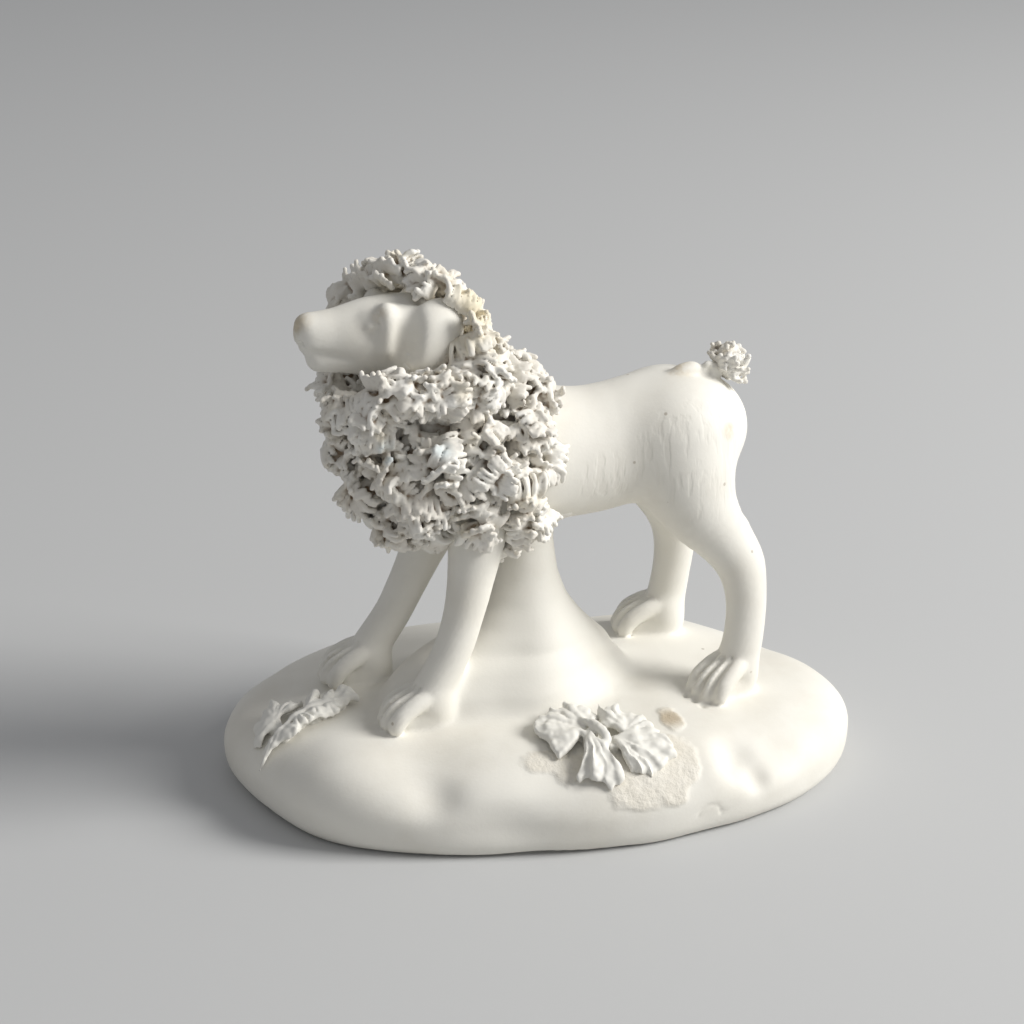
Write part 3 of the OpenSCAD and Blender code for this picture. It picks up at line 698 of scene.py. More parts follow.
def thinned(points, faces, share):
    # the same surface with fewer faces, kept where it curves
    piece = bpy.data.objects.new("thinning", meshFrom("thinning", points, faces))
    bpy.context.scene.collection.objects.link(piece)
    thin = piece.modifiers.new("thin", "DECIMATE")
    thin.ratio = share
    result = piece.evaluated_get(bpy.context.evaluated_depsgraph_get()).to_mesh()
    result.calc_loop_triangles()
    out = np.empty(len(result.vertices) * 3, np.float32)
    result.vertices.foreach_get("co", out)
    corners = np.empty(len(result.loop_triangles) * 3, np.int32)
    result.loop_triangles.foreach_get("vertices", corners)
    out, corners = out.reshape(-1, 3).astype(float), corners.reshape(-1, 3)
    piece.to_mesh_clear()
    bpy.data.objects.remove(piece)
    return out, corners


def borrowed(points, finePoints, fineValues):
    # values of the full surface at the points of the thinned one, so that both shade alike
    tree = KDTree(len(finePoints))
    for k, p in enumerate(finePoints.tolist()):
        tree.insert(p, k)
    tree.balance()
    near = np.array([[hit[1] for hit in tree.find_n(p, 3)] for p in points.tolist()])
    return fineValues[near].mean(1)


def cutToPieces(points, faces, labels, names, normals, extra=None, capped=True):
    # one piece for each label, all sharing the same normals so no seam shows; extra is the value called hollow
    pieces = {}
    for label in np.unique(labels):
        own, kept, fans, used = closedPart(points, faces[labels == label])
        if not capped:
            own, fans = own[:len(used)], None
        shared = np.vstack([normals[used], np.zeros((len(own) - len(used), 3))])
        name = names[label]
        pieces[name] = makePiece(name + "_clay", own, kept, fans, shared)
        if extra is not None:
            marks = np.concatenate([extra[used], np.zeros(len(own) - len(used))])
            mark = pieces[name].data.attributes.new("hollow", "FLOAT", "POINT")
            mark.data.foreach_set("value", marks.astype(np.float32))
        print(pieces[name].name, len(kept), "faces")
    return pieces


# handwork on the skin: a rough coat of filler round the front leaf, small crumbs, a scratch and soft unevenness
# patches are x, y, reach along x, reach along y on the mound, crumbs x, y, z and size, in the model's millimetres
handSettings = {
    "patches": [(2.6, -21.4, 4.4, 2.4), (9.0, -23.2, 6.0, 2.9), (12.8, -21.8, 3.4, 3.8),
                (14.3, -13.8, 1.7, 2.3), (-2.0, -20.4, 3.4, 2.0)],
    "patchRise": 0.13,
    "patchTop": 12.4,
    "crumbs": [(-1.1, 15.5, 10.8, 0.5), (-7.6, 3.0, 11.4, 0.45), (14.4, 9.7, 11.0, 0.6), (9.0, -8.5, 11.3, 0.3),
               (-20.5, -4.0, 11.0, 0.35),
               (24.0, 3.0, 10.6, 0.3), (6.0, -2.5, 11.6, 0.35), (-12.0, -14.5, 10.9, 0.25), (28.0, -9.0, 9.9, 0.25)],
    "scratch": {"x": 17.5, "z": 3.2, "radius": 1.5, "deep": 0.12, "wide": 0.18},
    "uneven": 0.24,
}


def patchOf(points):
    # how much of the filler coat covers each point, 0 to 1; points in the model's frame
    x, y, z = points.T
    total = np.full(len(points), -1.0)
    for cx, cy, wide, deep in handSettings["patches"]:
        total = np.maximum(total, 1.25 - np.hypot((x - cx) / wide, (y - cy) / deep))
    ragged = rough(points, 2.2, 21) * 0.7 + rough(points, 0.8, 22) * 0.2
    cover = np.clip((total + ragged - np.clip((6.0 - z) / 3, 0, 1) - 0.18) / 0.22, 0, 1)
    return cover * (z < handSettings["patchTop"])


def handwork(points, faces):
    s = handSettings
    out = normalsOf(points, faces)
    model = turnPoints(points, claySettings["dogTurn"])
    low = np.clip((12.5 - model[:, 2]) / 2, 0, 1)
    coat = patchOf(model)
    rise = rough(points, 7.0, 1) * s["uneven"] * (0.5 + 1.6 * low) + rough(points, 2.6, 2) * 0.05
    rise += coat * (s["patchRise"] + rough(points, 0.5, 3) * 0.07 + rough(points, 1.3, 4) * 0.12)
    for cx, cy, cz, size in s["crumbs"]:
        away = np.sqrt(((model - (cx, cy, cz)) ** 2).sum(1))
        rise += 0.6 * size * np.clip(1 - away / size, 0, 1) ** 0.5 * (away < size)
    # the scratch is an open ring on the near side of the base
    c = s["scratch"]
    ring = np.hypot(model[:, 0] - c["x"], (model[:, 2] - c["z"]) * 1.2)
    side = np.arctan2(model[:, 2] - c["z"], model[:, 0] - c["x"])
    groove = c["deep"] * np.exp(-((ring - c["radius"]) / c["wide"]) ** 2)
    rise -= groove * (model[:, 1] < -15) * (np.abs(side - 1.9) < 2.2)
    return points + out * rise[:, None]


clay = Clay(claySettings["low"], claySettings["high"], claySettings["step"], claySettings["reach"])
buildDog(clay)
skinPoints, skinFaces = solidOnly(*clay.skin())
skinPoints = relax(skinPoints, skinFaces, claySettings["rounds"], 0.5, 0.2)
skinPoints = handwork(skinPoints, skinFaces)
finePoints, fineNormals = skinPoints, normalsOf(skinPoints, skinFaces)
skinPoints, skinFaces = thinned(skinPoints, skinFaces, claySettings["kept"])
skinNormals = unit(borrowed(skinPoints, finePoints, fineNormals))
skinCoat = patchOf(turnPoints(skinPoints, claySettings["dogTurn"]))
skinLabels = steadyLabels(skinFaces, partOf(clay, skinPoints[skinFaces].mean(1)))
bodyPieces = cutToPieces(skinPoints, skinFaces, skinLabels, clay.parts, skinNormals, skinCoat)
print("skin has", len(skinFaces), "faces in", len(bodyPieces), "pieces")

# mane: sheaves of thin strands pressed on in bunches, laid over the mass of each bunch
maneSettings = {
    "spacing": 1.66,
    "strand": 0.3,
    "bead": 1.15,
    "pitch": 0.58,
    "arc": (0.65, 1.05, 1.45),
    "fan": 16.0,
    "across": 6,
    "upright": 0.6,
    "wander": 0.05,
    "clear": {"chest": 0.15, "shoulder": 0.15, "nape": 0.3, "crest": 0.7, "cheek": 0.35},
    "room": {"chest": 0.6, "shoulder": 0.5, "nape": 1.0, "crest": 1.3, "cheek": 1.2},
    "bunch": 4.6,
    "dome": (0.6, 0.8),
    "extra": [("cheek_left", (-21.6, -6.6, 55.0)), ("cheek_left", (-20.4, -7.1, 56.2)),
              ("cheek_left", (-18.8, -7.4, 56.0)),
              ("cheek_left", (-17.2, -7.6, 56.0)), ("cheek_left", (-20.6, -7.0, 53.8)),
              ("cheek_left", (-18.8, -7.5, 54.2))],
    "weld": 0.03,
    "depth": 0.3,
    "core": 1.6,
    "kept": 0.55,
    "step": 0.2,
    "seed": 41,
}
# how one sheaf varies, for the mane and the tuft alike; pairs are the least and the most
sheafSettings = {
    "drape": (0.1, 0.0, -0.35),
    "stray": 0.4,
    "turnAway": 1.6,
    "size": (0.85, 1.15),
    "fan": (0.3, 1.2),
    "bendUpright": (30, 65),
    "bendOver": (95, 140),
    "tall": 1.25,
    "length": (0.95, 1.12),
    "thick": (0.85, 1.12),
    "sink": (0, 0.3),
    "joints": 6,
    "fewest": 1.6,
}
# spots closer than planeReach to a cut between nodes don't count as outside
coreSettings = {"outside": 0.3, "planeReach": 0.12, "edge": 0.8, "edgeDepth": 1.2, "skinGap": 0.35}
maneNames = ["crest_left", "crest_right", "cheek_left", "cheek_right", "nape_left", "nape_right", "chest_left",
             "chest_right",
             "shoulder_left", "shoulder_right"]
splitPlanes = [((0, 1, 0), 0.57), ((0, 0, 1), 57.63), ((0, 0, 1), 49.13), ((1, 0, 0), -15.43), ((1, 0, 0), -12.03)]


def facesOfNode(name):
    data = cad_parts[name].data
    data.calc_loop_triangles()
    points = np.empty(len(data.vertices) * 3, np.float32)
    data.vertices.foreach_get("co", points)
    corners = np.empty(len(data.loop_triangles) * 3, np.int32)
    data.loop_triangles.foreach_get("vertices", corners)
    points = turnPoints(points.reshape(-1, 3).astype(float) * 1000, -claySettings["dogTurn"])
    return points, corners.reshape(-1, 3)


def outerSpots(names, s, rng):
    # well-spaced spots on the outside of the nodes, with the way out and the node
    spots, outs, which = [], [], []
    for k, name in enumerate(names):
        points, faces = facesOfNode(name)
        a, b, c = points[faces[:, 0]], points[faces[:, 1]], points[faces[:, 2]]
        flat = np.cross(b - a, c - a)
        area = np.linalg.norm(flat, axis=1) / 2
        flat = unit(flat)
        for axis, at in splitPlanes:
            on = np.abs((a + b + c) @ np.array(axis) / 3 - at) < coreSettings["planeReach"]
            area[on & (np.abs(flat @ np.array(axis)) > 0.95)] = 0
        count = int(area.sum() * 8)
        pick = rng.choice(len(faces), count, p=area / area.sum())
        u, v = rng.random((2, count))
        flip = u + v > 1
        u[flip], v[flip] = 1 - u[flip], 1 - v[flip]
        spots.append(a[pick] + (b - a)[pick] * u[:, None] + (c - a)[pick] * v[:, None])
        outs.append(flat[pick])
        which.append(np.full(count, k))
    spots, outs, which = np.vstack(spots), np.vstack(outs), np.concatenate(which)
    order = rng.permutation(len(spots))
    spots, outs, which = spots[order], outs[order], which[order]
    free = clay.depthAt(spots) > np.array([s["room"][name.split("_")[0]] for name in names])[which]
    spots, outs, which = spots[free], outs[free], which[free]
    chosen = []
    for i in range(len(spots)):
        if not chosen or ((spots[chosen] - spots[i]) ** 2).sum(1).min() > s["spacing"] ** 2:
            chosen.append(i)
    near = ((spots[chosen][:, None] - spots[None]) ** 2).sum(2) < 3.0 ** 2
    mean = near @ outs
    return spots[chosen], unit(mean), which[chosen]


def sheaf(block, spot, out, outward, part, rng, s):
    # strands side by side that rise and bend over together, in nested arcs, each ending in a bead
    v = sheafSettings
    away = np.array([clay.depthAt(spot + d) - clay.depthAt(spot - d) for d in np.eye(3)])
    apart = np.linalg.norm(outward)
    lean = np.array(v["drape"]) + rng.normal(0, v["stray"], 3) + outward * min(1.3, apart) / max(apart, 0.1)
    lean += away * v["turnAway"] * max(0, 3 - clay.depthAt(spot))
    lean -= out * (lean @ out)
    # a bunch stands proud in its middle and sinks at its border
    spot = spot + out * (s["dome"][0] - s["dome"][1] * min(1.0, (apart / (s["bunch"] * 0.55)) ** 2))
    lean /= np.linalg.norm(lean)
    side = np.cross(out, lean)
    size = rng.uniform(*v["size"])
    fan = math.radians(s["fan"]) * rng.uniform(*v["fan"])
    upright = rng.random() < s["upright"] or apart < 1.0
    across = s["across"] + rng.integers(-1, 2)
    bend = rng.uniform(*v["bendUpright"]) if upright else rng.uniform(*v["bendOver"])
    strands = []
    widest = max(s["arc"])
    top = widest * size * math.sin(math.radians(bend)) * v["tall"] if upright else widest * size
    for radius in s["arc"]:
        radius *= size * (v["tall"] if upright else 1.0)
        for k in range(across):
            off = k - (across - 1) / 2
            swing = fan * 2 * off / across + rng.normal(0, 0.09)
            way = lean * math.cos(swing) + side * math.sin(swing)
            base = spot - out * (top + s["depth"] + rng.uniform(*v["sink"]))
            base = base + side * off * s["pitch"] - lean * 0.35 * widest
            reach = bend + rng.normal(0, 12)
            turn = np.radians(np.linspace(0, reach, v["joints"]))
            rise = np.sin(turn) * radius * rng.uniform(*v["length"])
            path = base + np.outer(rise, out) + np.outer((1 - np.cos(turn)) * radius, way)
            path += rng.normal(0, s["wander"], path.shape)
            if clay.depthAt(path[3:]).min() < s["clear"][part.split("_")[0]]:
                continue
            thick = s["strand"] * rng.uniform(*v["thick"]) * np.ones(v["joints"])
            thick[-1] *= s["bead"]
            strands.append([tuple(p) + (r,) for p, r in zip(path, thick)])
    if len(strands) > across * v["fewest"]:
        for strand in strands:
            block.add(block.rod(strand, 1), s["weld"], part)


def layMane(block, names, s):
    rng = np.random.default_rng(s["seed"])
    spots, outs, which = outerSpots(names, s, rng)
    for name, place in s.get("extra", []):
        near = ((spots - place) ** 2).sum(1).argmin()
        spots, outs = np.vstack([spots, [place]]), np.vstack([outs, outs[near:near + 1]])
        which = np.append(which, names.index(name))
    middles = []
    for spot in spots:
        if not middles or min(((m - spot) ** 2).sum() for m in middles) > s["bunch"] ** 2:
            middles.append(spot)
    for spot, out, k in zip(spots, outs, which):
        away = spot - min(middles, key=lambda m: ((m - spot) ** 2).sum())
        sheaf(block, spot, out, away, names[k], rng, s)
    print(len(spots), "sheaves")


def spread(values, count, axis):
    # a coarse row of samples filled in to a finer one
    at = np.minimum(np.arange(count) / 2, values.shape[axis] - 1.0001)
    low = at.astype(int)
    share = (at - low).reshape([-1 if n == axis else 1 for n in range(3)])
    return np.take(values, low, axis) * (1 - share) + np.take(values, low + 1, axis) * share


def addCore(block, names, inset):
    # the solid mass under the strands, read from the outside of the node's own surface
    s = coreSettings

    def within(tree, place):
        hit, out, _, far = tree.find_nearest(place)
        return far if (Vector(place) - hit).dot(out) > 0 else -far
    for name in names:
        points, faces = facesOfNode(name)
        middle = points[faces].mean(1)
        outer = clay.depthAt(middle) > s["outside"]
        for axis, at in splitPlanes:
            outer &= np.abs(middle @ np.array(axis) - at) > s["planeReach"]
        cut, _ = block.window(points.min(0) - 0.5, points.max(0) + 0.5)
        tree = BVHTree.FromPolygons(points.tolist(), faces[outer].tolist())
        whole = BVHTree.FromPolygons(points.tolist(), faces.tolist())
        grid = [axis[c][::2] for axis, c in zip(block.axes, cut)]
        found = np.full([len(g) for g in grid], block.reach)
        for i, x in enumerate(grid[0]):
            for j, y in enumerate(grid[1]):
                for k, z in enumerate(grid[2]):
                    far = within(tree, (x, y, z)) + inset
                    near = clay.depthAt(np.array((x, y, z)))
                    # no core just outside the body at its visible edges
                    if far > -s["edgeDepth"] and 0 < near < s["edge"]:
                        far = max(far, s["outside"])
                    elif far < block.reach and near > 0:
                        far = max(far, within(whole, (x, y, z)) + s["skinGap"])
                    found[i, j, k] = far
        for axis in range(3):
            found = spread(found, cut[axis].stop - cut[axis].start, axis)
        block.add((cut, np.minimum(found, block.reach).astype(np.float32)), 0.0, name)


maneBlock = Clay((-33, -17, 29), (4, 17, 71), maneSettings["step"], 0.7)
addCore(maneBlock, maneNames, maneSettings["core"])
layMane(maneBlock, maneNames, maneSettings)
manePoints, maneFaces = solidOnly(*maneBlock.skin(), 60.0)
manePoints = relax(manePoints, maneFaces, 1, 0.5)
print("mane has", len(maneFaces), "faces")
# how deep each point lies in a hollow; this drives the painted shade between the strands in the mane's finish
fineHollow = hollowness(manePoints, maneFaces, 10) + 0.45 * hollowness(manePoints, maneFaces, 60)
finePoints, fineNormals = manePoints, normalsOf(manePoints, maneFaces)
manePoints, maneFaces = thinned(manePoints, maneFaces, maneSettings["kept"])
shading = borrowed(manePoints, finePoints, np.column_stack([fineNormals, fineHollow]))
maneNormals, maneHollow = unit(shading[:, :3]), shading[:, 3]
print("mane thinned to", len(maneFaces), "triangles")
maneLabels = nearestLabels(manePoints, maneFaces, maneBlock.ownerAt(manePoints[maneFaces].mean(1)))
maneLabels = steadyLabels(maneFaces, maneLabels)
manePieces = cutToPieces(manePoints, maneFaces, maneLabels, maneBlock.parts, maneNormals, maneHollow, False)

# tail tuft
tuftSettings = {"spacing": 1.35, "strand": 0.26, "bead": 1.2, "pitch": 0.42, "arc": (0.7, 1.25), "fan": 34.0,
                "across": 4,
                "upright": 0.7, "wander": 0.05, "clear": {"tail": 0.1}, "room": {"tail": 0.2}, "bunch": 3.0,
                "dome": (0.2, 0.4), "weld": 0.06, "depth": 0.3, "core": 0.9, "step": 0.15, "seed": 12}
tuftBlock = Clay((19.5, -5, 46.5), (29, 5, 57), tuftSettings["step"], 0.6)
addCore(tuftBlock, ["tail_tuft"], tuftSettings["core"])
layMane(tuftBlock, ["tail_tuft"], tuftSettings)
tuftPoints, tuftFaces = solidOnly(*tuftBlock.skin(), 1.0)
tuftPoints = relax(tuftPoints, tuftFaces, 1, 0.5)
# the tuft's hollows take the same painted shade between its strands
tuftPieces = cutToPieces(tuftPoints, tuftFaces, np.ones(len(tuftFaces), int), tuftBlock.parts,
                         normalsOf(tuftPoints, tuftFaces), hollowness(tuftPoints, tuftFaces, 10))

# leaves: thin lobes of clay pinched into pleats
# a lobe fans out from its base to its tips; each point is a along, b across and h above the mound,
# in millimetres from the leaf's middle
leafStep = 0.14
leafSettings = {
    "leaf_front": {
        "middle": (4.6, -16.4), "turn": -8.0, "sheet": 0.36, "seed": 3,
        "lobes": [
            {"base": (2.2, -2.2, 0.9), "pleat": 0.16, "tips": [(4.3, -6.2, 0.4), (5.4, -6.6, 0.8),
                                                               (6.9, -6.2, 0.4), (8.4, -5.4, 0.9), (9.2, -3.6, 0.6),
                                                              (8.8, -1.4, 0.9), (7.6, 0.6, 0.6)]},
            {"base": (3.9, -1.4, 0.9), "pleat": 0.2, "tips": [(7.3, 1.4, 0.6), (5.9, 3.0, 1.0), (4.4, 3.4, 0.8),
                                                              (2.4, 3.7, 1.6), (0.2, 3.3, 1.6), (0.4, 0.8, 0.9)]},
            {"base": (-1.5, 0.2, 1.1), "pleat": 0.19, "tips": [(0.2, 2.4, 0.8), (-1.3, 3.9, 1.1),
                                                               (-3.4, 4.3, 1.4), (-5.5, 3.4, 1.1), (-7.3, 1.6, 1.3),
                                                              (-7.2, -0.9, 0.9), (-5.6, -2.9, 1.0),
                                                               (-4.2, -4.3, 0.6)]},
            {"base": (-0.6, -1.4, 1.7), "pleat": 0.2, "tips": [(-2.1, -8.0, 0.7), (-0.4, -8.7, 1.3),
                                                               (1.6, -8.8, 0.8), (3.3, -7.7, 0.9)]},
        ],
        "ridges": [[(-2.2, 2.4, 1.3, 0.34), (-1.5, 0.7, 1.9, 0.46), (-0.1, -0.9, 2.2, 0.58),
                    (1.1, -2.7, 1.9, 0.55), (1.0, -4.9, 1.5, 0.4)],
                   [(-4.4, -2.9, 0.9, 0.32), (-3.3, -1.7, 1.4, 0.4), (-2.0, -1.2, 1.6, 0.42),
                    (-1.2, -2.2, 1.4, 0.36)]],
    },
    "leaf_side": {
        "middle": (-30.7, -5.9), "turn": -8.0, "sheet": 0.32, "seed": 8,
        "lobes": [
            {"base": (-3.0, -0.9, 1.0), "tips": [(-0.5, 1.9, 1.1), (-1.2, 2.9, 1.5), (-2.3, 2.6, 1.0),
                                                 (-3.8, 3.5, 1.4), (-5.3, 2.5, 1.1), (-5.5, 0.6, 0.8),
                                                (-4.7, -3.0, 0.5)]},
            {"base": (-2.2, -3.0, 1.1), "tips": [(-4.9, -5.7, 0.4), (-3.4, -5.2, 0.7), (-1.9, -5.0, 1.0),
                                                 (-0.6, -4.6, 1.3), (0.0, -3.4, 1.0)]},
            {"base": (-0.4, -1.4, 1.5), "tips": [(-0.6, -4.0, 1.1), (0.4, -3.3, 1.5), (1.2, -2.6, 1.1),
                                                 (1.9, -2.0, 1.4)]},
            {"base": (1.0, -0.4, 1.6), "tips": [(1.6, -2.3, 1.3), (2.4, -1.6, 1.5), (3.3, -0.4, 1.0)]},
            {"base": (0.4, -0.2, 1.6), "tips": [(2.2, 1.6, 1.3), (1.4, 3.2, 1.9), (0.4, 1.9, 1.4)]},
            {"base": (2.6, 0.8, 1.5), "tips": [(3.3, -0.6, 1.0), (4.4, 0.0, 1.1), (5.2, 0.7, 0.9), (5.4, 1.8, 1.0)]},
            {"base": (2.4, 0.8, 1.6), "tips": [(4.2, 2.8, 1.3), (3.5, 3.2, 1.8), (2.4, 2.4, 1.5)]},
            {"base": (3.9, 1.5, 1.4), "tips": [(6.7, 2.5, 0.7), (6.1, 3.4, 1.2), (4.7, 4.7, 1.8), (3.8, 3.2, 1.4)]},
        ],
        "ridges": [[(-4.2, -4.8, 0.8, 0.32), (-2.2, -3.0, 1.4, 0.4), (0.2, -0.8, 1.8, 0.45),
                    (2.8, 1.0, 1.7, 0.4), (5.4, 2.4, 1.2, 0.3)]],
    },
}


def groundUnder(x, y):
    # height of the mound under places in the dog's frame
    i = np.clip(np.rint((x - clay.axes[0][0]) / clay.step).astype(int), 0, len(clay.axes[0]) - 1)
    j = np.clip(np.rint((y - clay.axes[1][0]) / clay.step).astype(int), 0, len(clay.axes[1]) - 1)
    low = clay.axes[2] < 13.5
    columns = clay.depth[i, j][..., low]
    filled = columns < 0
    k = np.where(filled.any(-1), filled.shape[-1] - 1 - np.argmax(filled[..., ::-1], -1), 0)
    k = np.minimum(k, low.sum() - 2)
    here = np.take_along_axis(columns, k[..., None], -1)[..., 0]
    above = np.take_along_axis(columns, k[..., None] + 1, -1)[..., 0]
    return clay.axes[2][k] + clay.step * np.clip(here / np.where(here == above, 1, here - above), 0, 1)


def pleatedLobe(block, cut, a, b, over, lobe, s, rng):
    # a thin sheet with a ridge to each tip and a valley between, nicked at the rim
    base = np.array(lobe["base"], float)
    tips = np.array(lobe["tips"], float)
    tips[1:-1] += rng.normal(0, 0.16, tips[1:-1].shape)
    run = tips[:, :2] - base[:2]
    turn = np.unwrap(np.arctan2(run[:, 1], run[:, 0]))
    if turn[0] > turn[-1]:
        turn, run, tips = turn[::-1], run[::-1], tips[::-1]
    middle = (turn[0] + turn[-1]) / 2
    angle = np.arctan2(b - base[1], a - base[0])
    angle = middle + (angle - middle + math.pi) % (2 * math.pi) - math.pi
    r = np.hypot(a - base[0], b - base[1])
    at = np.interp(angle, turn, np.arange(len(turn)))
    at = at + 0.14 * np.sin(2 * math.pi * at + r * 1.3) + 0.1 * np.sin(1.9 * a - 1.3 * b)
    wave = np.cos(2 * math.pi * at)
    wave = wave * (0.75 + 0.45 * np.sin(0.9 * at + base[0] * 2 + 0.5 * r))
    rim = np.interp(angle, turn, np.hypot(run[:, 0], run[:, 1])) * (0.94 + 0.06 * wave)
    share = np.clip(r / rim, 0, 1.3)
    height = base[2] * (1 - share) + np.interp(angle, turn, tips[:, 2]) * share
    height = height + lobe.get("pleat", 0.24) * wave * np.minimum(share * 1.4, 1)
    height = height + 0.35 * np.sin(math.pi * np.clip(share, 0, 1))
    beyond = np.maximum(np.maximum(turn[0] - angle, angle - turn[-1]), 0) * np.maximum(r, 0.3)
    slope = 1 + 0.35 * np.minimum(share, 1)
    near = np.hypot(np.maximum(np.abs(over - height[..., None]) / slope[..., None] - s["sheet"] * 0.4, 0),
                    np.maximum(np.maximum(r - rim, beyond), 0)[..., None]) - s["sheet"] * 0.6
    block.add((cut, np.minimum(near, block.reach).astype(np.float32)), 0.12, block.parts[-1])


def buildLeaf(name):
    s = leafSettings[name]
    points, _ = facesOfNode(name)
    block = Clay(points.min(0) - 2.6, points.max(0) + 2.6, leafStep, 0.8)
    cut, (x, y, z) = block.window((-99, -99, -99), (99, 99, 99))
    x, y = np.broadcast_arrays(x[..., 0], y[..., 0])
    ground = groundUnder(x, y)
    for _ in range(3):
        ground[1:-1, 1:-1] = (ground[:-2, 1:-1] + ground[2:, 1:-1] + ground[1:-1, :-2] + ground[1:-1, 2:]) / 4
    over = z - ground[..., None]
    turn = math.radians(s["turn"] - claySettings["dogTurn"])
    centre = turnPoints(np.array([*s["middle"], 0.0]), -claySettings["dogTurn"])
    a = (x - centre[0]) * math.cos(turn) + (y - centre[1]) * math.sin(turn)
    b = (y - centre[1]) * math.cos(turn) - (x - centre[0]) * math.sin(turn)
    # the leaf is pulled about by hand, so its pleats wander
    flat = np.stack([a.ravel(), b.ravel(), np.zeros(a.size)], 1)
    a = a + (rough(flat, 2.4, s["seed"]) * 1.0 + rough(flat, 1.0, s["seed"] + 1) * 0.35).reshape(a.shape)
    b = b + (rough(flat, 2.4, s["seed"] + 2) * 1.0 + rough(flat, 1.0, s["seed"] + 3) * 0.35).reshape(b.shape)
    block.parts.append(name)
    rng = np.random.default_rng(s["seed"])
    for lobe in s["lobes"]:
        pleatedLobe(block, cut, a, b, over, lobe, s, rng)
        # a pinch of clay under each base joins the sheet to the mound
        away = np.hypot(a - lobe["base"][0], b - lobe["base"][1])[..., None]
        foot = np.maximum(away - 1.0, over - lobe["base"][2])
        foot = np.maximum(foot, -0.7 - over)
        block.add((cut, np.minimum(foot, block.reach).astype(np.float32)), 0.3, name)

    def place(p):
        px = centre[0] + p[0] * math.cos(turn) - p[1] * math.sin(turn)
        py = centre[1] + p[0] * math.sin(turn) + p[1] * math.cos(turn)
        return (px, py, float(groundUnder(np.array(px), np.array(py))) + p[2], p[3])
    for ridge in s["ridges"]:
        block.add(block.rod([place(p) for p in ridge], 5), 0.35, name)
    points, faces = solidOnly(*block.skin(), 0.5)
    points = relax(points, faces, 6, 0.5)
    lumps = rough(points, 1.2, 5)[:, None] * 0.42 + rough(points, 0.55, 6)[:, None] * 0.14
    points = points + normalsOf(points, faces) * lumps
    # the hollows of the pleats drive the painted shade in the leaf's finish
    return cutToPieces(points, faces, np.ones(len(faces), int), block.parts, normalsOf(points, faces),
                       hollowness(points, faces, 8), False)[name]


leafPieces = {name: buildLeaf(name) for name in leafSettings}

# finishes
finishSettings = {
    "bisque": (0.82, 0.8, 0.735),
    "bisqueDull": (0.7, 0.665, 0.585),
    "stain": (0.52, 0.4, 0.22),
    "filler": (0.755, 0.71, 0.615),
    "fillerPale": (0.8, 0.765, 0.685),
    "fillerDeep": (0.45, 0.35, 0.22),
    "shred": (0.76, 0.725, 0.655),
    "shredPale": (0.84, 0.82, 0.765),
    "shredCream": (0.74, 0.66, 0.48),
    "shredBlue": (0.55, 0.68, 0.74),
    # painted shade: the dark brown that the mane and tuft take in the hollows between strands
    "shredPaintedShade": (0.27, 0.19, 0.12),
    "leaf": (0.79, 0.775, 0.72),
    # painted shade: the dark brown that the leaves take in the hollows of their pleats
    "leafPaintedShade": (0.36, 0.27, 0.17),
    "speck": (0.3, 0.24, 0.17),
    "roughness": 0.6,
    "shredRoughness": 0.68,
    "leafRoughness": 0.58,
    # place, reach and strength: nose, brow, haunch, join of the tail, heel and two on the hind leg
    "handled": [((-29.6, -4.2, 61.6), 3.0, 0.62), ((-19.9, -6.6, 62.6), 1.4, 0.4), ((23.0, -3.6, 45.0), 1.6, 0.5),
                ((17.7, 2.0, 51.4), 2.4, 0.55), ((24.6, -5.4, 12.4), 2.6, 0.5), ((25.6, -3.6, 24.6), 1.6, 0.3),
                ((24.0, -4.0, 33.0), 1.6, 0.25)],
    # place and reach: near haunch, flank and far haunch
    "combed": [((18.5, -6.5, 42.0), 10.5), ((8.0, -7.0, 40.0), 5.5), ((14.0, 11.0, 42.0), 10.5)],
    "blue": [((-19.6, -12.4, 47.6), 2.2), ((-13.4, -14.2, 48.6), 2.2)],
}


